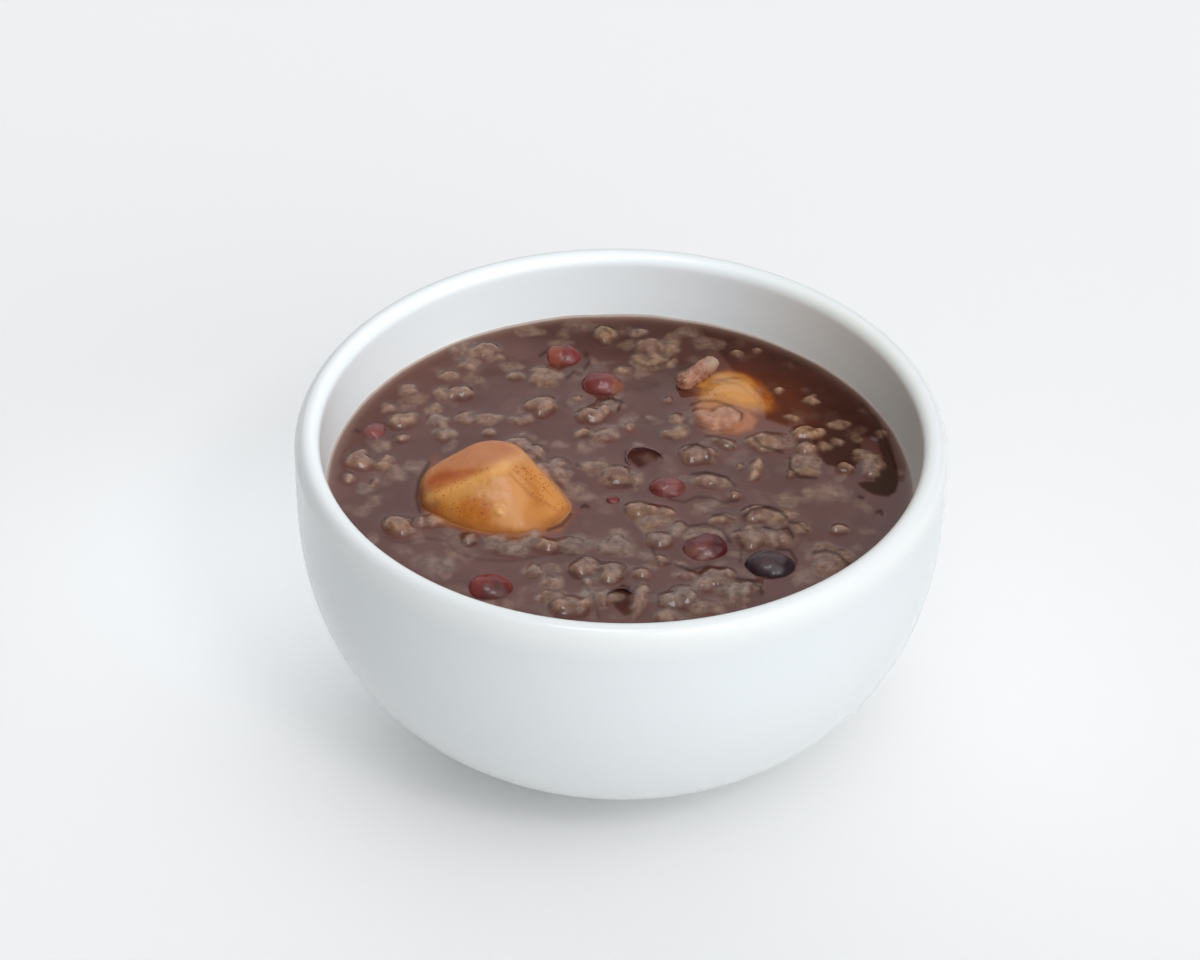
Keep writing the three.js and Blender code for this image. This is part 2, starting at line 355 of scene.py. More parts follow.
def glazeFinish():
    look = glazeLook
    glaze = Finish("whiteGlaze", ior=1.5, specularIorLevel=0.42)
    slow = glaze.cloud(14, 2.0)
    fine = glaze.cloud(160, 3.0)
    flat = glaze.node("ShaderNodeVectorMath", {"operation": "MULTIPLY"}, {0: glaze.place(), 1: (1, 1, 0)})
    height = glaze.axis(2)
    # The well gets its painted light, paler and bluer than the outside.
    inside = (1 - flat.length().rise(*look["wellEdge"])) * height.rise(*look["wellRise"])
    # The lip is painted paler: painted light on the rim's top.
    outer = height.rise(*look["lipRise"]).blend(slow.blend(*look["outerShades"]), look["lipShade"])
    # The right of the well is painted darker and warmer: painted shade.
    well = glaze.axis(0).rise(*look["wellShadowSide"]).blend(look["wellShade"], look["wellShadowTint"])
    glaze.set("baseColor", inside.blend(outer, well))
    glaze.set("roughness", look["roughness"] + look["smears"] * fine)
    glaze.raised(slow * 0.8 + fine * 0.05, look["dents"], 0.35)
    return glaze.material


def makeBowl():
    bm = bmesh.new()
    points = [bm.verts.new((r * mm, 0, z * mm)) for r, z in bowlProfile()]
    edges = [bm.edges.new(pair) for pair in zip(points, points[1:])]
    bmesh.ops.spin(bm, geom=points + edges, axis=(0, 0, 1), cent=(0, 0, 0), dvec=(0, 0, 0),
                   angle=2 * math.pi, steps=bowl["steps"], use_merge=True, use_duplicate=False)
    bmesh.ops.remove_doubles(bm, verts=bm.verts[:], dist=1e-6)
    bmesh.ops.recalc_face_normals(bm, faces=bm.faces[:])
    made = objectFrom(bm, "glazedBowl", glazeFinish())
    rounding = made.modifiers.new("rounding", "SUBSURF")
    rounding.levels = rounding.render_levels = 2
    fitted(made, "glaze", "bowl")
    return made


def paredReach(radii, facets, crispness, boxy=2.0):
    # Distance to the skin of a rounded body whose sides are pared flat, along a direction.
    planes = [(Vector(towards).normalized(), at) for towards, at in facets]

    def reach(d):
        around = sum(abs(d[axis] / radii[axis]) ** boxy for axis in range(3)) ** (1 / boxy)
        total = around ** crispness + sum(max(0.0, n.dot(d) / at) ** crispness for n, at in planes)
        return total ** (-1 / crispness)

    return reach


def mouldBall(bm, detail, reach, turn, at):
    # A ball moved to reach(direction) in every direction, turned and set down; all in mm.
    ball = bmesh.ops.create_icosphere(bm, subdivisions=detail, radius=1.0)["verts"]
    for vert in ball:
        direction = vert.co.normalized()
        vert.co = (turn @ (direction * reach(direction)) + Vector(at)) * mm
    return ball


def turned(turn, tip=0.0, roll=0.0):
    return (Matrix.Rotation(math.radians(turn), 3, "Z") @ Matrix.Rotation(math.radians(tip), 3, "Y")
            @ Matrix.Rotation(math.radians(roll), 3, "X"))


# The peeled chestnuts.
chestnut = {
    "detail": 6, "pits": 0.05, "swell": 0.22, "roughness": 0.27,
    "bead": {"pixel": (499, 511), "z": 54.4, "reach": 0.9, "rise": 0.5},   # a crumb on the front one
    "rubShade": (0.60, 0.26, 0.06), "speckShade": (0.25, 0.055, 0.007), "sunkShade": (0.16, 0.042, 0.016),
}
chestnuts = {
    "chestnut_front": {
        "at": (-22.7, -3.5, 49.4), "turn": 0, "size": (28.8, 24.8, 21.6), "boxy": 2.5, "crispness": 15,
        "facets": [((0.08, 0.18, 0.98), 9.5), ((-0.36, -0.08, 0.93), 9.55), ((-0.12, -0.60, 0.79), 9.3),
                   ((0.45, -0.40, 0.80), 9.8), ((0.74, 0.42, 0.53), 9.9), ((-0.50, 0.66, 0.56), 11.8),
                   ((-0.50, -0.82, 0.28), 11.9), ((0.1, 0.95, 0.3), 11.2), ((0, 0, -1), 9.5)],
    },
    "chestnut_back": {
        "at": (21.5, 28.0, 41.8), "turn": 24, "size": (28.5, 24.5, 21.0), "boxy": 2.0, "crispness": 20,
        "facets": [((-0.15, -0.3, 0.94), 9.6), ((0.75, 0.1, 0.65), 9.9), ((-0.7, 0.3, 0.62), 10.8),
                   ((0.1, -0.95, 0.3), 10.4), ((0, 0, -1), 9.2)],
    },
}
# The colours of the peeled nuts and where the photograph's pixels show them.
nutPaint = {
    "flesh": (0.45, 0.152, 0.023),
    "patches": {
        "top": ([(424, 470), (440, 434), (514, 434), (536, 458), (503, 468), (450, 470)],
                8, (0.5, 0.17, 0.058)),
        "wedge": ([(414, 502), (430, 476), (449, 469), (501, 467), (462, 483), (428, 499)],
                  8, (0.37, 0.064, 0.002)),
        # The glow patch is a painted highlight: the broad light band along the front nut's ridge.
        "glow": ([(430, 496), (470, 484), (500, 472), (510, 488), (496, 500), (450, 506)],
                 14, (0.53, 0.225, 0.05)),
        "prow": ([(494, 482), (508, 466), (526, 470), (530, 500), (524, 529), (503, 532), (491, 512)],
                 20, (0.62, 0.27, 0.09)),
        "leftFoot": ([(412, 500), (420, 486), (432, 488), (440, 502), (436, 516), (420, 516)],
                     8, (0.27, 0.08, 0.026)),
        "rightFoot": ([(560, 488), (572, 492), (580, 506), (572, 524), (560, 516)],
                      8, (0.34, 0.105, 0.04)),
        "prowFoot": ([(524, 508), (545, 508), (552, 522), (520, 532)], 10, (0.54, 0.205, 0.045)),
        "dark": ([(466, 498), (484, 497), (494, 508), (488, 520), (468, 518), (458, 508)],
                 14, (0.42, 0.115, 0.006)),
        "side": ([(526, 462), (544, 462), (576, 505), (570, 524), (548, 514)], 14, (0.62, 0.255, 0.07)),
        # The back nut's top facet is painted paler: painted light where it catches the light.
        "backLitFacet": ([(690, 388), (718, 371), (750, 382), (760, 404), (744, 414), (696, 408)],
                     9, (0.58, 0.255, 0.07)),
        "backShade": ([(698, 404), (728, 404), (760, 412), (768, 426), (748, 434), (700, 432)],
                      10, (0.52, 0.19, 0.085)),
        "backBand": ([(738, 362), (778, 380), (792, 424), (772, 424), (761, 398), (738, 379)],
                     7, (0.25, 0.045, 0.002)),
    },
    "strokes": {
        # The ridge strokes are painted highlights along the front nut's ridge.
        "ridge": ([(430, 497), (504, 467)], 6.0, 0.6, (0.78, 0.4, 0.12)),
        "ridgeTop": ([(450, 469), (501, 467)], 2.0, 0.35, (0.56, 0.22, 0.07)),
        "ridgeRight": ([(494, 470), (526, 454)], 6.5, 0.42, (0.84, 0.46, 0.18)),
        "edge": ([(512, 444), (530, 458), (562, 498)], 2.6, 0.5, (0.62, 0.27, 0.09)),
        "streakLong": ([(509, 473), (532, 496), (558, 510)], 1.3, 0.45, (0.3, 0.08, 0.01)),
        "streakMiddle": ([(514, 470), (538, 490)], 1.2, 0.35, (0.32, 0.085, 0.01)),
        "streakHigh": ([(524, 468), (550, 494)], 1.2, 0.3, (0.34, 0.1, 0.014)),
        "streakFoot": ([(430, 512), (470, 524), (510, 530)], 3.2, 0.5, (0.34, 0.085, 0.008)),
        "streakLow": ([(528, 524), (552, 520), (566, 508)], 3.0, 0.45, (0.36, 0.09, 0.01)),
        "streakBack": ([(716, 379), (740, 385), (760, 402)], 1.5, 0.38, (0.32, 0.09, 0.008)),
        # The crumb is painted pale: its own colour with a painted highlight.
        "bead": ([(497, 510), (501, 512)], 4.0, 0.55, (0.8, 0.47, 0.18)),
    },
    "speckled": {
        "left": ([(420, 500), (434, 474), (449, 469), (490, 468), (470, 484), (440, 500)], 6),
        "low": ([(436, 508), (466, 492), (496, 506), (488, 524), (450, 518)], 8),
        "right": ([(512, 466), (540, 462), (566, 500), (562, 514), (534, 500)], 8),
        "back": ([(702, 388), (722, 384), (730, 398), (706, 400)], 6),
        "backBand": ([(734, 364), (776, 380), (790, 424), (768, 424), (756, 398), (733, 381)], 6),
    },
}


def paintedNut(points):
    # The colour of the nuts' flesh at points given in mm, and how speckled it is.
    colour = painted(points, nutPaint["flesh"], nutPaint["patches"], nutPaint["strokes"])
    px, py = photoPixels(points)
    specks = np.zeros(len(points))
    for outline, soft in nutPaint["speckled"].values():
        specks = np.maximum(specks, softPatch(px, py, outline, soft))
    return colour, specks


def nutSkinColour(finish, paint, specks):
    rub = finish.cloud(380, 3.0, 0.6)
    dots = finish.cloud(2300, 1.5)
    mottled = (rub.rise(0.35, 0.75) * 0.25).blend(paint, chestnut["rubShade"])
    spots = dots.rise(0.59, 0.70) * (0.12 + 0.75 * specks)
    return spots.blend(mottled, chestnut["speckShade"])


def chestnutFinish():
    nut = Finish("peeledChestnut", ior=1.33, roughness=chestnut["roughness"],
                 subsurfaceWeight=0.2, subsurfaceRadius=(1.0, 0.4, 0.12), subsurfaceScale=0.0012)
    colour = nutSkinColour(nut, nut.paint("paint"), nut.attribute("specks"))
    nut.set("baseColor", nut.attribute("sunk").rise(0.0, 1.0).blend(colour, chestnut["sunkShade"]))
    nut.raised(nut.cloud(420, 3.0, 0.6), 0.0004, 0.18)
    return nut.material


def makeChestnut(name, row, material):
    radii = [size / 2 for size in row["size"]]
    base = paredReach(radii, row["facets"], row["crispness"], row["boxy"])
    offset = Vector(row["at"])

    def reach(d):
        swell = noise.noise(d * 1.6 + offset) * chestnut["swell"]
        pits = noise.noise(d * 9 + offset) * chestnut["pits"]
        return base(d) + swell + pits

    bm = bmesh.new()
    mouldBall(bm, chestnut["detail"], reach, turned(row["turn"]), row["at"])
    bead = photoSpot(*chestnut["bead"]["pixel"], chestnut["bead"]["z"])
    for vert in bm.verts:
        away = (vert.co / mm - bead).length / chestnut["bead"]["reach"]
        vert.co += vert.normal * (chestnut["bead"]["rise"] * math.exp(-away ** 4) * mm)
    made = objectFrom(bm, name, material)
    colour, specks = paintedNut(corners(made.data) / mm)
    setColours(made.data, "paint", colour)
    setAttribute(made.data, "specks", specks)
    return made


# The beans and the two empty skins.
bean = {
    "length": 8.6, "width": 6.2, "height": 5.8, "detail": 5,
    "crispness": 5, "endCut": 0.96, "cleftWidth": 0.30,
    "skinTop": 1.1, "skinCut": (0.1, -0.25, 1), "skinWall": 0.4,   # how an empty skin is cut open
    "roughness": 0.21, "sunkShade": (0.07, 0.020, 0.015), "filmShade": (0.10, 0.020, 0.018),
}
beans = {
    "bean_back_split": {"at": (-11.2, 40.6, 50.2), "turn": 8, "tip": 4, "scale": 0.92, "cleft": 0.07,
                        "shade": (0.2, 0.03, 0.022)},
    "bean_back": {"at": (-3.7, 31.6, 49.7), "turn": -10, "tip": 0, "scale": 1.1,
                  "shade": (0.165, 0.032, 0.028)},
    "bean_left": {"at": (-46.0, 16.2, 48.9), "turn": 60, "tip": 20, "scale": 0.92,
                  "shade": (0.18, 0.05, 0.045)},
    "bean_centre": {"at": (8.6, -0.4, 49.8), "turn": 5, "tip": 0, "scale": 0.96,
                    "shade": (0.185, 0.044, 0.04)},
    "bean_scrap": {"at": (-1.4, -4.2, 50.2), "turn": 20, "tip": 0, "scale": 0.36,
                   "shade": (0.15, 0.02, 0.018)},
    "bean_right_red": {"at": (15.5, -18.4, 49.4), "turn": 24, "tip": -6, "scale": 1.2,
                       "shade": (0.12, 0.02, 0.02)},
    "bean_right_dark": {"at": (27.2, -23.0, 49.1), "turn": -6, "tip": 4, "scale": 1.32,
                        "shade": (0.028, 0.013, 0.016)},
    "bean_front": {"at": (-23.2, -30.8, 49.4), "turn": 4, "tip": 10, "scale": 1.16,
                   "shade": (0.165, 0.028, 0.027)},
}
hulls = {
    "hull_centre": {"at": (4.3, 8.6, 50.0), "turn": -14, "tip": 0, "scale": 1.0,
                    "shade": (0.14, 0.07, 0.066)},
    "hull_front": {"at": (0.2, -33.6, 50.0), "turn": 78, "tip": 14, "scale": 0.9,
                   "shade": (0.06, 0.026, 0.027)},
}
# Where the photograph's pixels show paler, redder or darker skin, and the creases.
beanPaint = {
    "patches": {
        "splitLeft": ([(538, 352), (552, 340), (564, 350), (562, 372), (544, 366)],
                      9, (0.265, 0.064, 0.04)),
        "splitRight": ([(564, 344), (578, 340), (588, 352), (584, 370), (566, 372)],
                       8, (0.195, 0.032, 0.03)),
        "backMiddle": ([(588, 376), (606, 374), (618, 384), (608, 392), (592, 388)],
                       8, (0.19, 0.042, 0.038)),
        "backTip": ([(614, 380), (630, 384), (630, 396), (612, 396)], 6, (0.24, 0.08, 0.042)),
        "backUnder": ([(576, 372), (584, 376), (586, 392), (574, 390)], 6, (0.15, 0.03, 0.024)),
        # The centre bean's top is painted paler: a painted highlight.
        "centreTop": ([(658, 478), (672, 476), (680, 484), (674, 492), (660, 490)],
                      8, (0.205, 0.06, 0.054)),
        "rightPale": ([(682, 548), (704, 544), (712, 556), (700, 568), (684, 564)],
                      8, (0.185, 0.072, 0.06)),
        "rightDeep": ([(714, 534), (730, 538), (734, 552), (718, 558), (710, 548)],
                      6, (0.075, 0.01, 0.012)),
        "darkPale": ([(748, 556), (768, 550), (786, 554), (780, 572), (758, 570)],
                     10, (0.062, 0.034, 0.037)),
        "frontBrown": ([(482, 586), (500, 581), (511, 592), (504, 603), (486, 601)],
                       12, (0.105, 0.034, 0.028)),
    },
    "strokes": {
        # The split bean's crease is painted dark: painted shade in the crease.
        "splitCrease": ([(563, 344), (565, 356), (560, 370)], 2.2, 0.3, (0.07, 0.01, 0.008)),
        "centreSeam": ([(654, 490), (668, 495), (680, 490)], 1.8, 0.6, (0.09, 0.014, 0.012)),
        "rightSeam": ([(692, 560), (704, 548), (716, 544)], 1.8, 0.5, (0.1, 0.014, 0.016)),
        "darkSeam": ([(752, 560), (764, 552), (784, 550)], 1.6, 0.6, (0.02, 0.01, 0.012)),
        "frontSkin": ([(470, 594), (471, 583), (482, 574), (498, 573), (507, 579)],
                      4.0, 0.75, (0.19, 0.024, 0.027)),
        "frontFoot": ([(472, 598), (490, 603), (506, 598)], 2.2, 0.7, (0.03, 0.008, 0.007)),
    },
}


def beanFinish(name):
    skin = Finish(name, ior=1.36, roughness=bean["roughness"],
                  subsurfaceWeight=0.1, subsurfaceRadius=(1.0, 0.25, 0.2), subsurfaceScale=0.0008)
    patches = skin.cloud(260, 2.5, 0.6, 0.6)
    wrinkles = skin.cloud(900, 2.0, 0.5, 1.2)
    colour = skin.paint("paint").shaded(0.45 + 1.1 * patches)
    skin.set("baseColor", (skin.attribute("sunk") * 0.6).clipped().blend(colour, bean["sunkShade"]))
    skin.raised(patches * 0.7 + wrinkles * 0.3, 0.0004, 0.25)
    return skin.material


def beanReach(row):
    # A bean's skin, with blunt ends and, in a split one, a cleft across its top.
    radii = [bean[size] * row["scale"] / 2 for size in ("length", "width", "height")]
    ends = [((side, 0, 0), radii[0] * bean["endCut"]) for side in (1, -1)]
    base = paredReach(radii, ends, bean["crispness"])
    offset = Vector(row["at"])
    cleft = row.get("cleft", 0)

    def reach(d):
        split = cleft * math.exp(-(d.x / bean["cleftWidth"]) ** 2) * max(0.0, 0.3 + 0.7 * d.z)
        return base(d) * (1 + 0.05 * noise.noise(d * 2.2 + offset) - split)

    return reach


def paintBean(piece, shade):
    colours = painted(corners(piece.data) / mm, shade, beanPaint["patches"], beanPaint["strokes"])
    setColours(piece.data, "paint", colours)
    return piece


def makeBean(name, row, material):
    bm = bmesh.new()
    mouldBall(bm, bean["detail"], beanReach(row), turned(row["turn"], row["tip"]), row["at"])
    return paintBean(objectFrom(bm, name, material), row["shade"])


def makeHull(name, row, material):
    # An empty skin: the top is cut off and the rest gets a thin wall.
    bm = bmesh.new()
    turn = turned(row["turn"], row["tip"])
    mouldBall(bm, bean["detail"], beanReach(row), turn, row["at"])
    cut = (Vector(row["at"]) + Vector((0, 0, bean["skinTop"]))) * mm
    bmesh.ops.bisect_plane(bm, geom=bm.verts[:] + bm.edges[:] + bm.faces[:], plane_co=cut,
                           plane_no=bean["skinCut"], clear_outer=True)
    bmesh.ops.solidify(bm, geom=bm.faces[:], thickness=bean["skinWall"] * mm)
    return paintBean(objectFrom(bm, name, material), row["shade"])


# The rice. The crown is how far a grain's top stands over the soup's level, deep is its thickness over
# its width, and the lobes are the swellings of a burst grain.
riceGrades = {
    "proud": {"crown": 1.45, "deep": 0.8, "lobes": 4},
    "wet": {"crown": 0.75, "deep": 0.7, "lobes": 4},
    "sunk": {"crown": -0.1, "deep": 0.5, "lobes": 3},
    "faint": {"crown": -0.55, "deep": 0.5, "lobes": 2},
    "drop": {"crown": 0.9, "deep": 0.95, "lobes": 0},
    "rod": {"crown": 1.0, "deep": 0.9, "lobes": 0},
}
# Grains as the photograph shows them: middle, width and depth in its pixels, then the grade and the
# turn where they aren't "wet" and 0.
riceSpots = {
    "backLeft": [
        (462, 349, 22, 13), (482, 350, 26, 13, "proud", 14), (495, 357, 14, 8), (450, 375, 14, 10, "drop"),
        (446, 393, 16, 12, "wet", 20), (459, 391, 16, 11, "proud", -10), (407, 389, 10, 9),
        (406, 406, 16, 9, "sunk"), (389, 407, 8, 7), (402, 420, 16, 15, "proud", 20), (435, 409, 12, 10),
        (439, 421, 13, 12), (465, 417, 11, 12), (472, 380, 16, 8, "sunk"), (470, 363, 14, 10),
        (511, 367, 16, 8, "sunk"), (516, 375, 14, 7), (545, 376, 22, 17, "wet", 30),
        (540, 405, 18, 14, "proud"), (488, 418, 24, 9, "wet", 5), (520, 420, 14, 8),
        (530, 331, 22, 8, "sunk", -6), (578, 326, 25, 9, "sunk"), (605, 334, 14, 13, "proud"),
        (577, 397, 6, 6, "drop"), (596, 412, 22, 13, "proud", 30), (609, 406, 20, 12, "wet", 20),
    ],
    "backMiddle": [
        (637, 332, 14, 8), (652, 345, 16, 14, "proud"), (667, 347, 18, 12, "wet", -12),
        (630, 346, 14, 8, "sunk"), (653, 361, 40, 13), (623, 370, 12, 7), (687, 332, 18, 8, "sunk"),
        (710, 344, 26, 10, "sunk", -10), (736, 353, 10, 7, "drop"), (756, 350, 7, 5, "drop"),
        (668, 399, 6, 6, "drop"), (676, 418, 10, 10), (718, 416, 38, 18, "proud", -4),
        (731, 413, 14, 11, "proud"), (705, 417, 16, 13),
    ],
    "right": [
        (779, 390, 7, 7, "drop"), (811, 399, 9, 7), (838, 424, 16, 8), (792, 417, 8, 6),
        (763, 441, 18, 13, "proud"), (778, 442, 18, 12, "wet", 10), (808, 433, 22, 12, "proud"),
        (806, 448, 12, 10, "proud"), (823, 446, 9, 9), (805, 461, 20, 16, "wet", 60), (806, 471, 24, 9),
        (791, 473, 6, 6, "drop"), (845, 466, 14, 8, "proud"), (866, 456, 13, 14, "wet", -50),
        (874, 464, 14, 12, "wet", -50), (872, 472, 14, 9, "drop"), (837, 442, 7, 6),
        (857, 440, 7, 6, "sunk"), (832, 493, 24, 14, "sunk"), (786, 500, 22, 9, "sunk", -20),
        (881, 433, 9, 8, "drop"),
    ],
    "left": [
        (402, 437, 8, 6), (445, 433, 18, 9), (357, 459, 16, 13, "proud"), (383, 465, 12, 10, "drop"),
        (387, 459, 8, 7), (349, 477, 10, 9, "drop"), (375, 481, 6, 12, "wet", 80),
        (366, 489, 12, 9, "sunk"), (396, 477, 14, 9, "faint"), (417, 467, 16, 8, "sunk", 40),
        (398, 524, 16, 12, "proud"), (422, 521, 10, 9), (433, 520, 9, 8), (362, 512, 12, 8, "faint"),
        (381, 447, 12, 8, "sunk"),
    ],
    "middle": [
        (520, 444, 15, 11, "proud", -40), (534, 452, 17, 13, "proud", -40),
        (550, 470, 26, 18, "proud", -30), (576, 492, 16, 10, "sunk"), (524, 434, 8, 5), (489, 432, 10, 5),
        (582, 432, 12, 6), (607, 433, 18, 13, "wet", 30), (598, 467, 20, 12), (617, 475, 20, 14, "proud"),
        (632, 477, 16, 12), (629, 426, 9, 8, "drop"), (586, 448, 12, 8, "sunk"), (678, 432, 20, 10),
        (699, 453, 26, 15, "proud"), (722, 442, 25, 9, "rod", -28), (712, 480, 35, 12, "rod", -12),
        (756, 468, 13, 26, "rod", 78), (739, 466, 6, 6, "drop"), (734, 495, 9, 7, "drop"),
        (641, 508, 16, 12, "proud"), (652, 521, 26, 16, "wet", -10), (666, 512, 14, 8), (723, 518, 18, 9),
        (703, 508, 14, 8, "sunk"), (757, 514, 20, 13, "proud"), (776, 516, 24, 13, "wet", -14),
        (752, 535, 18, 16, "proud"), (770, 534, 20, 15, "wet", -10), (784, 538, 13, 11, "drop"),
        (800, 527, 18, 8, "wet", -34), (839, 528, 14, 8, "drop"), (830, 559, 30, 20, "wet", -16),
        (703, 535, 30, 14, "wet", 30),
    ],
    "front": [
        (470, 538, 13, 11, "drop"), (499, 543, 17, 15), (513, 546, 16, 13), (532, 539, 16, 13),
        (547, 544, 14, 9, "proud"), (406, 529, 12, 8), (433, 564, 40, 13, "sunk", -16), (534, 571, 14, 9),
        (551, 581, 16, 10), (573, 544, 22, 14), (615, 545, 26, 16), (586, 567, 18, 15, "proud"),
        (597, 575, 14, 12), (611, 571, 17, 15, "proud", 60), (587, 582, 8, 7, "drop"),
        (642, 573, 12, 10, "drop"), (639, 599, 16, 38, "rod", 80), (661, 538, 20, 11, "proud"),
        (659, 559, 10, 7), (677, 530, 14, 18, "wet", 70), (687, 575, 16, 8),
        (681, 595, 34, 15, "proud", 40), (715, 578, 26, 15, "proud", 30), (749, 586, 22, 13, "rod", 8),
        (735, 590, 18, 14, "proud"), (571, 604, 30, 13, "proud"), (550, 597, 16, 10), (670, 615, 20, 9),
        (705, 606, 22, 11), (807, 577, 18, 11, "sunk"), (735, 600, 18, 10), (607, 596, 14, 12),
        (590, 595, 16, 10),
    ],
}
# How yellow (above 0) or grey (below 0) the grains of each area are.
riceTints = {
    "backLeft": 0.0, "backMiddle": 0.1, "right": 0.12, "left": -0.1, "middle": 0.05, "front": -0.30,
}
rice = {
    "pixelAcross": 0.185, "pixelAway": 0.306,   # mm on the soup for each pixel of the photograph
    "seed": 11, "plump": 1.42, "thinnest": 0.7, "tintSpread": 0.35, "lobeTints": 0.15,
    "uprightTurn": 60,                          # a grain turned further points away from the viewer
    "lobeSizes": (0.56, 0.90), "lobeStretch": (1.1, 1.7), "lobeTops": (-0.50, 0.05), "bodySunk": 0.18,
    "fillers": 300, "fillerLength": (2.0, 5.6), "fillerWidth": (0.45, 0.85), "fillerCrown": (-1.6, 0.0),
    "fillerDeep": 0.6, "fillerLobes": 2, "wallRoom": 0.6,
    "warp": 0.16, "warpLength": 3.4,
    "lumps": 0.030, "lumpLength": 2.4, "grit": 0.008, "gritLength": 1.0,
    "pink": ((0.140, 0.070, 0.049), (0.300, 0.178, 0.127)),
    "yellow": ((0.150, 0.080, 0.040), (0.330, 0.208, 0.107)),
    "grey": ((0.110, 0.068, 0.052), (0.245, 0.180, 0.142)),
}
# The long grain that leans on the back chestnut, with its cut end at a pixel of its own.
longGrain = {
    "pixel": (698, 373), "z": 52.3, "half": 3.1, "radius": 1.65, "cut": 4.3, "turn": 36, "tip": -15,
    "end": (714, 362), "endReach": 9, "bends": 0.17, "bumps": 0.06,
    # The cut end is painted pale: the grain's white broken inside, with a painted highlight.
    "shades": ((0.26, 0.100, 0.056), (0.42, 0.200, 0.13)), "endShade": (0.38, 0.26, 0.175),
    "sunkShade": (0.14, 0.055, 0.036),
}


def grainLobes(random, x, y, half, turn, crown, deep, count, tint):
    # One grain or clump as a few swellings: place, half sizes, turn, top and tint of each.
    long, wide = half
    angle = math.radians(turn)
    small = min(long, wide)
    sunk = rice["bodySunk"] * (count > 0) * max(crown, 0.4)
    yield x, y, long * 0.95, wide * 0.95, turn, crown - sunk, deep * small, tint
    for index in range(count):
        heading = 2 * math.pi * (index + random.uniform(-0.3, 0.3)) / count
        along, aside = 0.50 * long * math.cos(heading), 0.38 * wide * math.sin(heading)
        size = small * random.uniform(*rice["lobeSizes"])
        top = crown + random.uniform(*rice["lobeTops"])
        yield (x + along * math.cos(angle) - aside * math.sin(angle),
               y + along * math.sin(angle) + aside * math.cos(angle),
               size * random.uniform(*rice["lobeStretch"]), size, random.uniform(0, 180), top, size * deep,
               tint + random.uniform(-1, 1) * rice["lobeTints"])


def shownGrain(random, areaTint, px, py, across, away, grade="wet", turn=0):
    row = riceGrades[grade]
    spot = photoSpot(px, py, soupLevel + row["crown"] * 0.5)
    if turn > rice["uprightTurn"]:
        long, wide = away * rice["pixelAway"] / 2, across * rice["pixelAcross"] / 2
    else:
        # What stands over the soup hides a part of it, and so looks deeper than it is.
        long = across * rice["pixelAcross"] * rice["plump"] / 2
        wide = (away * rice["pixelAway"] * rice["plump"] - max(row["crown"], 0)) / 2
        wide = max(rice["thinnest"], wide)
    tint = areaTint + random.uniform(-1, 1) * rice["tintSpread"]
    return grainLobes(random, spot.x, spot.y, (long, wide), turn, row["crown"], row["deep"],
                      row["lobes"], tint)


def fillerGrain(random, x, y, long):
    wide = long * random.uniform(*rice["fillerWidth"])
    tint = random.uniform(-1, 1) * rice["tintSpread"]
    turn = random.uniform(0, 180)
    crown = random.uniform(*rice["fillerCrown"])
    return grainLobes(random, x, y, (long, wide), turn, crown, rice["fillerDeep"],
                      rice["fillerLobes"], tint)


def allLobes():
    random = np.random.default_rng(rice["seed"])
    for area, spots in riceSpots.items():
        for spot in spots:
            yield from shownGrain(random, riceTints[area], *spot)
    room = bowl["wellRadius"] - rice["wallRoom"]
    made = 0
    while made < rice["fillers"]:
        x, y = random.uniform(-53, 53, 2)
        long = random.uniform(*rice["fillerLength"]) / 2
        if math.hypot(x, y) + long <= room:
            made += 1
            yield from fillerGrain(random, x, y, long)


def grainSkinColour(finish, tint):
    # The colour of cooked rice stained by the soup.
    mottled = finish.cloud(520, 3.0, 0.6).rise(0.30, 0.70)
    pink, yellow, grey = (mottled.blend(*rice[name]) for name in ("pink", "yellow", "grey"))
    warm = (tint.most(0.0) * 1.4).clipped().blend(pink, yellow)
    return ((-1.0 * tint).most(0.0) * 1.4).clipped().blend(warm, grey)


def rodReach(half, radius, cut):
    # Distance to the skin of a rod with round ends, one of them cut off.
    def reach(d):
        across = math.sqrt(max(1e-9, 1 - d.x * d.x))
        length = radius / across
        if abs(d.x) * length > half:
            length = half * abs(d.x) + math.sqrt(max(0.0, radius * radius - (half * across) ** 2))
        return min(length, cut / d.x) if d.x > 0 else length

    return reach


def longGrainFinish():
    grainSkin = Finish("cookedRice", ior=1.34, specularIorLevel=0.5, roughness=0.12)
    mottled = grainSkin.cloud(400, 3.0, 0.6).rise(0.3, 0.7).blend(*longGrain["shades"])
    # The cut end takes the pale colour, which holds a painted highlight.
    colour = grainSkin.attribute("cutEnd").blend(mottled, longGrain["endShade"])
    grainSkin.set("baseColor", (0.25 * grainSkin.attribute("sunk")).blend(colour, longGrain["sunkShade"]))
    grainSkin.raised(grainSkin.cloud(700, 3.0), 0.0004, 0.25)
    return grainSkin.material


def makeLongGrain():
    at = photoSpot(*longGrain["pixel"], longGrain["z"])
    base = rodReach(longGrain["half"], longGrain["radius"], longGrain["cut"])

    def reach(d):
        bend = longGrain["bends"] * noise.noise(d * 2.3 + at)
        return base(d) * (1 + bend + longGrain["bumps"] * noise.noise(d * 7 + at))

    bm = bmesh.new()
    mouldBall(bm, 6, reach, turned(longGrain["turn"], longGrain["tip"]), at)
    made = objectFrom(bm, "longRiceGrain", longGrainFinish())
    px, py = photoPixels(corners(made.data) / mm)
    away = np.hypot(px - longGrain["end"][0], py - longGrain["end"][1]) / longGrain["endReach"]
    setAttribute(made.data, "cutEnd", np.clip(1.3 - away, 0, 1))
    return made


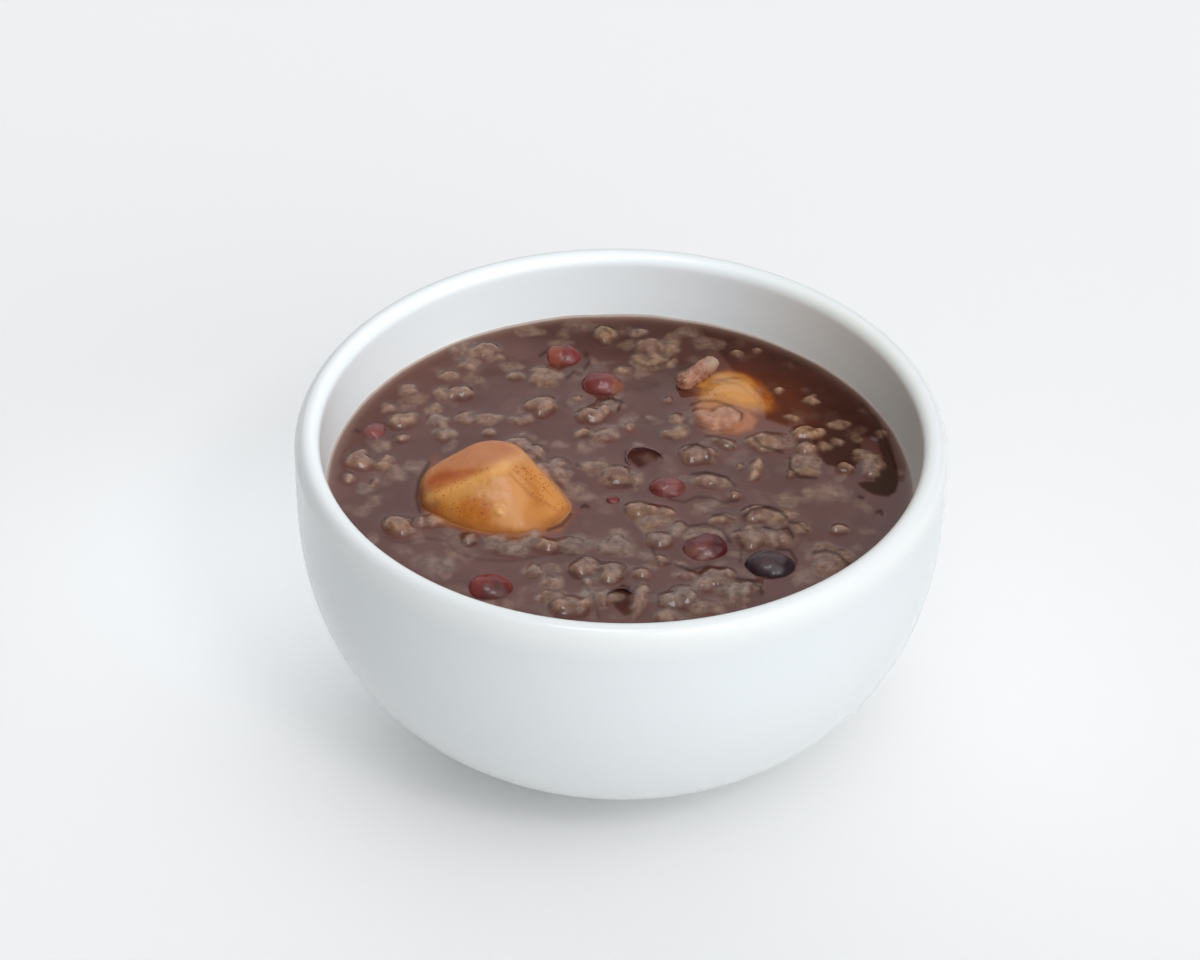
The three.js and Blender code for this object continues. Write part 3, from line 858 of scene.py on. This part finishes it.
# The soup's surface is worked out on a square raster.
pond = {
    "reach": 55.2, "cells": 553,
    "ripple": 0.050, "rippleLength": 16.0, "swell": 0.015, "swellLength": 6.0,
    "film": 0.16,         # mm of soup over the grains' tops
    "round": 0.28,        # mm over which edges are rounded
    "capillary": 1.05,    # mm over which a raised film falls back to the level
    "rounds": 160, "deepest": 1.5,
    "nutClimb": 0.9, "nutUnder": 0.3,         # mm that the soup creeps up a chestnut, but not over it
    "smallClimb": 0.2, "smallUnder": 0.25,    # the same for beans, skins and the long grain
    "wallClimb": 0.9, "wallMiddle": 0.7, "wallLeft": 0.3,    # up the wall, more at the left
    "murk": 0.80, "nutMurk": 1.1, "beanMurk": 0.8,    # mm of soup that hide most of a piece
    "shade": 0.48, "shadeFrom": 0.14, "shadeOver": 0.22,    # the painted shade line behind a steep grain
    # Painted light and shade: grains are painted paler on their crests and darker in the creases between,
    # partly the soup that gathers there.
    "crestSpread": 0.6, "crestHeight": 0.20, "crestLowest": -0.3,
}
nowhere = -1e3    # mm, lower than anything
# Where the surface is painted without its mirror and with the deep soup: painted dark reflection of the
# shaded wall, and painted shade inside the hollow skin and beside the upright rod grain: outline, softness
# and share.
shadePools = {
    "backLeft": ([(440, 318), (700, 312), (700, 372), (640, 386), (560, 352), (470, 336)], 30, 0.5),
    "backMiddle": ([(600, 312), (720, 318), (700, 376), (640, 392), (604, 389)], 5, 0.3),
    "backRight": ([(690, 300), (800, 320), (870, 380), (800, 412), (766, 411), (745, 385), (690, 378)],
                  4, 0.85),
    "rightHaze": ([(780, 440), (860, 460), (900, 500), (860, 560), (790, 560), (740, 500)], 40, 0.14),
    "rightBasin": ([(762, 370), (860, 385), (884, 440), (868, 452), (818, 436), (779, 435), (766, 424)],
                   4, 0.92),
    "rightLobe": ([(812, 430), (862, 430), (860, 462), (849, 470), (826, 465), (816, 452)], 3, 0.95),
    "rightStrip": ([(866, 410), (878, 416), (892, 446), (899, 480), (888, 484), (880, 450)], 4, 0.97),
    "rightPool": ([(880, 466), (894, 462), (899, 480), (896, 492), (888, 497), (878, 494), (874, 480)],
                  4, 1.0),
    "poolTongue": ([(857, 483), (866, 481), (884, 482), (893, 490), (886, 497), (874, 495), (863, 489)],
                   3, 1.0),
    "hullInside": ([(625, 452), (645, 450), (662, 455), (654, 462), (642, 467), (632, 463)], 5, 0.88),
    "hullWedge": ([(627, 453), (637, 455), (644, 466), (639, 468), (631, 462)], 3, 0.95),
    "rodShade": ([(614, 592), (622, 584), (630, 586), (632, 614), (624, 616), (614, 606)], 3, 0.9),
}
# Where a chestnut shows through the film: outline, softness and share.
nutShows = {
    "back": ([(689, 396), (696, 382), (712, 373), (728, 370), (744, 373), (760, 381), (772, 393),
              (777, 405), (776, 416), (762, 414), (740, 405), (706, 405)], 10, 1.0),
    "backLow": ([(694, 400), (730, 398), (752, 410), (760, 420), (754, 431), (738, 436), (708, 434),
                 (695, 420)], 13, 0.76),
    # A painted glow: the light through the soup round the back nut.
    "backGlow": ([(690, 380), (740, 366), (800, 385), (822, 440), (800, 462), (770, 446), (700, 440)],
                 30, 0.22),
    "frontFoot": ([(418, 506), (440, 500), (560, 500), (576, 512), (562, 533), (516, 541), (466, 533),
                   (436, 524)], 9, 0.62),
    "frontLeft": ([(412, 500), (418, 474), (436, 452), (450, 470), (440, 512), (420, 512)], 10, 0.35),
}
# Thin dark lines painted on the soup, a line of pixels, its width and its darkness: painted shade and
# painted dark reflection along the edges of the film round grains, beans and nuts, and in the bit rows,
# real dark bits of bean skin.
shadeLinesAndBits = {
    "nutLeft": ([(420, 512), (416, 498), (419, 480), (429, 463)], 1.7, 0.8),
    "nutLeftInner": ([(424, 505), (422, 490), (427, 474)], 1.3, 0.6),
    "nutRight": ([(528, 449), (546, 466), (562, 488)], 1.4, 0.5),
    "nutFoot": ([(548, 530), (562, 525), (571, 514)], 2.0, 0.85),
    "underNut": ([(384, 537), (400, 543), (424, 538), (446, 541), (458, 553), (480, 560), (510, 561),
                  (560, 553), (584, 556)], 1.4, 0.38),
    "frontCurl": ([(568, 572), (584, 582), (594, 598), (599, 618)], 1.5, 0.45),
    "centreBean": ([(668, 499), (684, 502), (696, 497), (712, 498), (726, 503), (738, 500)], 1.4, 0.65),
    "middleRight": ([(713, 516), (724, 515), (735, 520)], 1.5, 0.75),
    "clumpArc": ([(745, 516), (752, 509), (768, 507), (782, 512), (787, 518)], 1.8, 0.95),
    "clumpRight": ([(764, 527), (776, 530), (788, 528), (793, 537)], 1.7, 0.9),
    "shortArc": ([(789, 522), (798, 523), (808, 531)], 1.8, 0.9),
    "farRightArc": ([(814, 553), (826, 550), (838, 554), (848, 564)], 2.0, 0.9),
    "yellowArc": ([(736, 579), (750, 580), (761, 587), (762, 594)], 1.8, 0.9),
    "blackBeanLeft": ([(736, 532), (742, 545), (740, 562)], 1.7, 0.6),
    "blackBeanTop": ([(776, 549), (790, 550), (796, 560), (794, 570)], 1.8, 0.8),
    "redBeanTop": ([(690, 526), (706, 524), (722, 530), (730, 542)], 1.6, 0.8),
    "redBeanFoot": ([(678, 566), (692, 570), (708, 566)], 1.5, 0.8),
    "redBeanLeft": ([(652, 548), (658, 562), (676, 565)], 1.5, 0.7),
    "clearGrain": ([(692, 474), (706, 472), (726, 477), (735, 485)], 1.6, 0.8),
    "middleGrain": ([(684, 450), (696, 444), (708, 450), (710, 458)], 1.6, 0.8),
    "twinGrain": ([(706, 436), (718, 437), (734, 448)], 1.4, 0.7),
    "rightGrainFoot": ([(755, 438), (762, 446), (782, 452)], 1.7, 0.85),
    "rightGrainTop": ([(766, 432), (780, 434), (788, 441)], 1.5, 0.6),
    "rightPair": ([(798, 442), (806, 440), (816, 442)], 1.7, 0.85),
    "rightCurl": ([(790, 458), (790, 468), (800, 477), (816, 478)], 1.7, 0.85),
    "backNutArc": ([(691, 405), (700, 401), (716, 401), (731, 406), (742, 413), (741, 420)], 1.6, 0.75),
    "backNutFoot": ([(694, 424), (712, 431), (734, 430)], 1.3, 0.4),
    "longGrainTop": ([(600, 402), (612, 398), (622, 402), (618, 410)], 1.6, 0.8),
    "backGrain": ([(634, 362), (648, 367), (664, 364), (672, 358)], 1.5, 0.7),
    "splitShade": ([(540, 356), (545, 352), (552, 350)], 2.0, 0.7),
    "splitShadeRight": ([(586, 354), (589, 362), (584, 370)], 2.2, 0.7),
    "betweenBeans": ([(567, 378), (574, 372), (582, 374)], 1.8, 0.7),
    "centreShade": ([(607, 478), (616, 484), (632, 485)], 2.2, 0.6),
    "beadRing": ([(463, 535), (462, 541), (468, 546), (476, 543)], 1.4, 0.7),
    "bitMiddle": ([(582, 507), (585, 505), (588, 507)], 1.8, 0.95),
    "bitRight": ([(859, 497), (863, 498)], 1.7, 0.95),
    "bitFarRight": ([(877, 512), (881, 511), (882, 515)], 1.7, 0.9),
    "bitLeft": ([(356, 430), (359, 432)], 1.6, 0.9),
    "bitNut": ([(577, 465), (582, 467)], 1.5, 0.8),
    "wallRing": ([(862, 404), (876, 420), (886, 442), (896, 468)], 1.6, 0.5),
}


def pondGrid():
    line = np.linspace(-pond["reach"], pond["reach"], pond["cells"])
    return np.meshgrid(line, line, indexing="ij")


def pondCell():
    return 2 * pond["reach"] / (pond["cells"] - 1)


def waves(x, y, length, count, seed):
    # A smooth random surface about 0, from waves in all directions.
    random = np.random.default_rng(seed)
    total = np.zeros_like(x)
    for _ in range(count):
        heading = random.uniform(0, 2 * math.pi)
        number = 2 * math.pi / (length * random.uniform(0.7, 1.5))
        phase = random.uniform(0, 2 * math.pi)
        total += np.cos(number * (x * math.cos(heading) + y * math.sin(heading)) + phase)
    return total / math.sqrt(count / 2)


def softened(raster, spread):
    # Blurs a raster by a spread in mm.
    steps = np.fft.fftfreq(pond["cells"], pondCell())
    fall = np.exp(-2 * (math.pi * spread * steps) ** 2)
    return np.real(np.fft.ifft2(np.fft.fft2(raster) * fall[:, None] * fall[None, :]))


def riceTops(x, y):
    # Height and tint of the highest swelling over each point, with lumpy outlines.
    warpX = x + rice["warp"] * waves(x, y, rice["warpLength"], 30, 5)
    warpY = y + rice["warp"] * waves(x, y, rice["warpLength"], 30, 6)
    skin = rice["lumps"] * waves(x, y, rice["lumpLength"], 30, 7)
    skin += rice["grit"] * waves(x, y, rice["gritLength"], 30, 8)
    tops, tints = np.full(x.shape, nowhere), np.zeros(x.shape)
    line = x[:, 0]
    for px, py, long, wide, turn, crown, thick, tint in allLobes():
        reach = max(long, wide) + 1.2
        rows = slice(*np.searchsorted(line, (px - reach, px + reach)))
        columns = slice(*np.searchsorted(line, (py - reach, py + reach)))
        dx, dy = warpX[rows, columns] - px, warpY[rows, columns] - py
        angle = math.radians(turn)
        along = (dx * math.cos(angle) + dy * math.sin(angle)) / long
        aside = (dy * math.cos(angle) - dx * math.sin(angle)) / wide
        away = along ** 2 + aside ** 2
        top = soupLevel + crown - thick * (1 - np.sqrt(np.maximum(1 - away, 0))) + skin[rows, columns]
        better = (away < 1) & (top > tops[rows, columns])
        tops[rows, columns][better] = top[better]
        tints[rows, columns][better] = tint
    return tops, tints


def topsOf(pieces, x):
    # The highest point of these pieces over each raster point, in mm.
    tops = np.full(x.shape, nowhere)
    line = x[:, 0]
    above, down = bowl["height"] * 1.25 * mm, Vector((0, 0, -1))
    for piece in pieces:
        bm = bmesh.new()
        bm.from_mesh(piece.data)
        tree = BVHTree.FromBMesh(bm)
        bm.free()
        co = corners(piece.data) / mm
        low, high = co.min(0), co.max(0)
        for i in range(*np.searchsorted(line, (low[0], high[0]))):
            for j in range(*np.searchsorted(line, (low[1], high[1]))):
                hit = tree.ray_cast(Vector((line[i] * mm, line[j] * mm, above)), down)[0]
                if hit is not None:
                    tops[i, j] = max(tops[i, j], hit.z / mm)
    return tops


def filmOver(ground, level, held):
    # A film drawn tight over the ground, which falls back to the level between the grains.
    pull = (pondCell() / pond["capillary"]) ** 2
    film = np.maximum(level, ground)
    for _ in range(pond["rounds"]):
        around = film.copy()
        around[1:-1, 1:-1] = (film[2:, 1:-1] + film[:-2, 1:-1] + film[1:-1, 2:] + film[1:-1, :-2]
                              + pull * level[1:-1, 1:-1]) / (4 + pull)
        film = np.where(held, level, np.maximum(around, ground))
    return film


def sampled(raster, x, y):
    # A raster's value at points between its cells.
    last = pond["cells"] - 1.001
    u = np.clip((x + pond["reach"]) / pondCell(), 0, last)
    v = np.clip((y + pond["reach"]) / pondCell(), 0, last)
    i, j = u.astype(int), v.astype(int)
    fu, fv = u - i, v - j
    return ((raster[i, j] * (1 - fu) + raster[i + 1, j] * fu) * (1 - fv)
            + (raster[i, j + 1] * (1 - fu) + raster[i + 1, j + 1] * fu) * fv)


def shares(px, py, patches, share):
    # The largest share that patches give each point, if it is more than the share it has.
    for outline, soft, strength in patches.values():
        share = np.maximum(share, strength * softPatch(px, py, outline, soft))
    return share


def seenThrough(film, tops, murk, spread):
    # How far pieces show through the soup over their tops, from 0 to 1.
    return softened(np.exp(-np.maximum(film - tops, 0) / murk), spread)


def farEdges(film, grains):
    # Painted shade: the dark line on the side of a grain that turns away from the viewer.
    slope = -np.gradient(softened(film, 0.3), pondCell(), axis=1)
    steep = np.clip((slope - pond["shadeFrom"]) / pond["shadeOver"], 0, 1)
    return pond["shade"] * np.clip(1.7 - 2.0 * grains, 0, 1) * steep


def makePond(frontNut, backNut, smallPieces, longPiece):
    x, y = pondGrid()
    level = soupLevel + pond["ripple"] * waves(x, y, pond["rippleLength"], 18, 3)
    level += pond["swell"] * waves(x, y, pond["swellLength"], 26, 4)
    grainTops, tints = riceTops(x, y)
    print("soup: grains laid out")
    frontTops, backTops = topsOf([frontNut], x), topsOf([backNut], x)
    smallTops, longTops = topsOf(smallPieces, x), topsOf([longPiece], x)
    print("soup: large pieces measured from above")
    ground = np.maximum(grainTops, backTops) + pond["film"]
    ground = np.maximum(ground, np.minimum(frontTops - pond["nutUnder"], level + pond["nutClimb"]))
    for tops in (smallTops, longTops):
        ground = np.maximum(ground, np.minimum(tops - pond["smallUnder"], level + pond["smallClimb"]))
    wall = np.hypot(x, y) > bowl["wellRadius"] - 0.1
    creep = pond["wallClimb"] * (pond["wallMiddle"] - pond["wallLeft"] * x / bowl["wellRadius"])
    level = np.where(wall, level + creep, level)
    film = filmOver(softened(np.maximum(ground, level - pond["deepest"]), pond["round"]), level, wall)

    points = np.stack([x.ravel(), y.ravel(), film.ravel()], 1)
    px, py = (pixels.reshape(x.shape) for pixels in photoPixels(points))
    grains = seenThrough(film, grainTops, pond["murk"], 0.2)
    beans = seenThrough(film, smallTops, pond["beanMurk"], 0.2)
    nuts = seenThrough(film, np.maximum(frontTops, backTops), pond["nutMurk"], 0.25)
    nuts = shares(px, py, nutShows, nuts)
    # Painted shade lines: behind steep grains and along the listed lines.
    dark = farEdges(film, grains) * (1 - 0.9 * nuts)
    for ends, width, strength in shadeLinesAndBits.values():
        dark = np.maximum(dark, strength * softStroke(px, py, ends, width))
    nutColour, specks = paintedNut(points)
    beanColour = painted(points, bean["filmShade"], beanPaint["patches"], beanPaint["strokes"])
    under = np.where((beans > nuts).ravel()[:, None], beanColour, nutColour)
    red, green, blue = under.T.reshape(3, *x.shape)
    # How far the film stands over its surroundings, for painted light on crests and painted shade in
    # creases.
    crest = (film - softened(film, pond["crestSpread"])) / pond["crestHeight"]
    return {
        "height": film, "rice": grains, "tint": softened(tints, 0.4),
        "nut": nuts * (nuts >= beans), "bean": beans * (beans > nuts), "specks": specks.reshape(x.shape),
        "crest": np.clip(crest, pond["crestLowest"], 1), "poolShade": shares(px, py, shadePools, 0.0),
        "dark": dark, "red": red, "green": green, "blue": blue,
    }


# The porridge. Its disc is laid out on a square grid and its wall in rings below that.
porridge = {
    "acrossCells": 376, "awayCells": 242, "wallRings": 5, "edgeRadius": 54.45, "floorGap": 1.2,
    "filmFrom": 54.2, "filmFade": 0.7, "filmBack": 0.25,    # the pale film at the wall, more at the back
}
soupLook = {
    "thick": ((0.082, 0.0235, 0.0145), (0.114, 0.035, 0.024)),
    "deep": ((0.046, 0.0155, 0.011), (0.066, 0.022, 0.016)),
    "pool": (0.052, 0.027, 0.020), "nutGlow": (0.26, 0.055, 0.010), "shadow": (0.026, 0.010, 0.009),
    "wallFilm": (0.31, 0.20, 0.15), "wallLine": (0.56, 0.46, 0.415),
}


def discFrom(u, v):
    # Moves a square from -1 to 1 onto a disc.
    return u * np.sqrt(1 - v * v / 2), v * np.sqrt(1 - u * u / 2)


def soupFinish():
    # The mirror of the wet surface is the coat, which is left off where the deep soup shows: painted dark
    # reflection and painted shade in the pools.
    look = soupLook
    soup = Finish("beanSoup", specularIorLevel=0.0, roughness=0.5, coatIor=1.38, coatRoughness=0.04)
    grain, tint, nut = soup.attribute("rice"), soup.attribute("tint"), soup.attribute("nut")
    poolShade, dark, paint = soup.attribute("poolShade"), soup.attribute("dark"), soup.paint("paint")
    murk = soup.cloud(110, 3.0, 0.6).rise(0.3, 0.7)
    fine = soup.cloud(900, 2.0)
    deep = poolShade.rise(0.93, 1.0).blend(murk.blend(*look["deep"]), look["pool"])
    body = poolShade.blend(murk.blend(*look["thick"]), deep)
    nutSkin = nutSkinColour(soup, paint, soup.attribute("specks"))
    # Where little of a nut shows it takes the nutGlow colour: the nut under thick soup, and the painted
    # glow round the back nut.
    withNut = nut.blend(body, nut.rise(0.25, 1.0).blend(look["nutGlow"], nutSkin))
    # The crest paints light on the grains' tops and shade in their creases.
    shape = 1.03 + 0.52 * soup.attribute("crest")
    share = (grain * (0.66 + 0.4 * fine) * (1 - 0.45 * nut)).clipped()
    withRice = share.blend(withNut, grainSkinColour(soup, tint).shaded(shape * (1 + 0.75 * nut)))
    withBean = (soup.attribute("bean") * 0.85).clipped().blend(withRice, paint)
    edge = soup.attribute("edge")
    withFilm = edge.blend(withBean, look["wallFilm"])
    withLine = (edge.rise(0.42, 0.98) * 0.85).blend(withFilm, look["wallLine"])
    # The dark attribute paints shade and dark reflection; the coat is turned down under it.
    soup.set("baseColor", (dark * 0.85).clipped().blend(withLine, look["shadow"]))
    soup.set("coatWeight", 1 - (poolShade + dark * 0.75).clipped())
    soup.raised(soup.cloud(1300, 2.0) * grain, 0.0003, 0.10)
    return soup.material


def makePorridge(rasters):
    bm = bmesh.new()
    bmesh.ops.create_grid(bm, x_segments=porridge["acrossCells"], y_segments=porridge["awayCells"], size=1)
    top = len(bm.verts)
    rim = [edge for edge in bm.edges if edge.is_boundary]
    for _ in range(porridge["wallRings"]):
        rim = [part for part in bmesh.ops.extrude_edge_only(bm, edges=rim)["geom"]
               if isinstance(part, bmesh.types.BMEdge)]
    bmesh.ops.edgeloop_fill(bm, edges=rim)
    bm.verts.index_update()
    made = objectFrom(bm, "porridgeSoup", soupFinish())
    co = corners(made.data)
    x, y = discFrom(co[:, 0], co[:, 1])
    x, y = x * porridge["edgeRadius"], y * porridge["edgeRadius"]
    z = sampled(rasters["height"], x, y)
    # The wall follows the bowl's inside, ring by ring, down to the floor.
    ringSize = (len(co) - top) // porridge["wallRings"]
    for ring in range(porridge["wallRings"]):
        part = slice(top + ring * ringSize, top + (ring + 1) * ringSize)
        depth = (ring + 1) / porridge["wallRings"]
        low = soupLevel - (soupLevel - bowl["wellFloor"] - porridge["floorGap"]) * depth ** 1.4
        shrink = (wellAt(low) + 0.02) / porridge["edgeRadius"]
        x[part] *= shrink
        y[part] *= shrink
        z[part] = low
    made.data.vertices.foreach_set("co", np.stack([x, y, z], 1).ravel() * mm)
    made.data.update()
    for name in ("rice", "tint", "nut", "bean", "specks", "crest", "poolShade", "dark"):
        setAttribute(made.data, name, sampled(rasters[name], x, y))
    paint = [sampled(rasters[name], x, y) for name in ("red", "green", "blue")]
    setColours(made.data, "paint", np.stack(paint, 1))
    edge = np.exp(-np.maximum(porridge["filmFrom"] - np.hypot(x, y), 0) / porridge["filmFade"])
    back = porridge["filmBack"]
    setAttribute(made.data, "edge", edge * (1 - back + back * y / porridge["edgeRadius"]))
    fitted(made, "soup", "porridge")
    return made


def markSunk(piece, rasters, fade):
    # How far each corner lies under the film, from 0 for bare to 1 for sunk.
    co = corners(piece.data) / mm
    depth = sampled(rasters["height"], co[:, 0], co[:, 1]) - co[:, 2]
    setAttribute(piece.data, "sunk", np.clip(0.5 + depth / fade, 0, 1))


# The stage: the floor, the lamps and the sky, in metres.
stage = {
    "floorSize": 6.0, "floorShades": ((0.895, 0.88, 0.868), (0.905, 0.885, 0.873)),
    "farFloor": (0.9, 2.4), "farGlow": 0.18,
    "seenSky": 0.90, "skyDim": 0.02, "skyColour": (0.965, 1.0, 1.02), "lampColour": (0.98, 1.0, 1.08),
}
# A faint glow of the floor, for the light that pale walls throw into the shadow behind the bowl.
shadowFill = {
    "middle": (-0.050, 0.040, 0), "across": 0.058, "away": 0.048,
    "colour": (0.94, 1.0, 1.04), "strength": 0.30,
}
# Degrees from the front towards the right, degrees up, distance, width, length and brightness.
lamps = {
    "panel": (172, 38, 1.7, 2.2, 1.15, 0.70),
    "spark": (28, 47, 1.6, 0.30, 0.24, 11.0),
    "glint": (-20, 76, 1.6, 0.45, 0.45, 7.0),    # shows in wet skins only
}
# The studio's soft light: bearing from the front towards the right, height, sharpness and strength.
skyGlows = {
    "key": (22, 42, 8, 1.12), "keyRight": (45, 42, 8, 1.10), "side": (67, 42, 8, 0.50),
    "lowRight": (45, 12, 8, 1.14), "front": (0, 42, 8, 0.42), "frontTop": (0, 68, 8, 0.30),
    "rightTop": (90, 68, 8, 0.18), "top": (0, 90, 8, 0.32), "backTop": (180, 68, 8, 0.46),
    "back": (180, 42, 8, 0.20), "backLow": (180, 12, 8, 0.20), "backLeft": (225, 42, 8, 0.30),
    "backLeftLow": (225, 12, 8, 0.36),
}


def bearing(azimuth, elevation):
    turn, lift = math.radians(azimuth), math.radians(elevation)
    return Vector((math.sin(turn) * math.cos(lift), -math.cos(turn) * math.cos(lift), math.sin(lift)))


def floorFinish():
    paper = Finish("paleTable", ior=1.45, specularIorLevel=0.1, roughness=0.7, emissionStrength=1.0)
    paper.set("baseColor", paper.cloud(3, 2.0).blend(*stage["floorShades"]))
    fill = shadowFill
    moved = paper.node("ShaderNodeVectorMath", {"operation": "SUBTRACT"},
                       {0: paper.place(), 1: fill["middle"]})
    scaled = paper.node("ShaderNodeVectorMath", {"operation": "MULTIPLY"},
                        {0: moved, 1: (1 / fill["across"], 1 / fill["away"], 0)})
    away = scaled.length()
    glow = paper.maths("EXPONENT", -1.0 * away * away)
    near = glow.blend((0, 0, 0), tuple(fill["strength"] * part for part in fill["colour"]))
    far = paper.place().length().rise(*stage["farFloor"])
    paper.set("emissionColor", far.blend(near, (stage["farGlow"],) * 3))
    return paper.material


def addFloor():
    bm = bmesh.new()
    bmesh.ops.create_grid(bm, x_segments=8, y_segments=8, size=stage["floorSize"] / 2)
    floor = objectFrom(bm, "floor", floorFinish())


def addLamp(name):
    azimuth, elevation, distance, width, length, radiance = lamps[name]
    out = bearing(azimuth, elevation)
    light = bpy.data.lights.new(name, "AREA")
    light.shape = "RECTANGLE"
    light.size, light.size_y = width, length
    light.color = stage["lampColour"]
    light.energy = radiance * math.pi * width * length
    lamp = bpy.data.objects.new(name, light)
    lamp.location = out * distance + Vector((0, 0, 0.05))
    lamp.rotation_euler = out.to_track_quat("Z", "Y").to_euler()
    lamp.visible_camera = False
    lamp.visible_diffuse = name != "glint"
    bpy.context.scene.collection.objects.link(lamp)


def addSky():
    world = bpy.data.worlds.new("studio")
    world.use_nodes = True
    bpy.context.scene.world = world
    sky = Wire(world.node_tree)
    direction = sky.node("ShaderNodeTexCoord", output=0)
    lit = stage["skyDim"]
    for azimuth, elevation, sharpness, strength in skyGlows.values():
        facing = sky.node("ShaderNodeVectorMath", {"operation": "DOT_PRODUCT"},
                          {0: direction, 1: tuple(bearing(azimuth, elevation))}, output=1)
        lit = lit + strength * facing.most(0.0) ** sharpness
    seen = sky.node("ShaderNodeLightPath", output=0)
    background = world.node_tree.nodes["Background"]
    sky.feed(background.inputs["Strength"], lit * (1 - seen) + seen * stage["seenSky"])
    sky.feed(background.inputs["Color"], stage["skyColour"])


bpy.context.scene.view_settings.view_transform = "Standard"
addCamera()
addFloor()
for lampName in lamps:
    addLamp(lampName)
addSky()
print("stage ready")

makeBowl()
print("bowl ready")

chestnutSkin = chestnutFinish()
nutPieces = [makeChestnut(name + "Nut", row, chestnutSkin) for name, row in chestnuts.items()]
beanSkin = beanFinish("beanSkin")
beanPieces = [makeBean(name + "Bean", row, beanSkin) for name, row in beans.items()]
hullPieces = [makeHull(name + "Skin", row, beanSkin) for name, row in hulls.items()]
print("chestnuts and beans ready")

longRice = makeLongGrain()
rasters = makePond(*nutPieces, beanPieces + hullPieces, longRice)
makePorridge(rasters)
fitted(longRice, "soup")
markSunk(longRice, rasters, 0.5)
for piece, node in zip(nutPieces, chestnuts):
    fitted(piece, "chestnut", node)
    markSunk(piece, rasters, 1.6)
for piece, node in zip(beanPieces + hullPieces, [*beans, *hulls]):
    darkSkin = node in hulls or node == "bean_right_dark"
    fitted(piece, "dark_bean" if darkSkin else "bean", node)
    markSunk(piece, rasters, 0.6)
print("porridge ready")
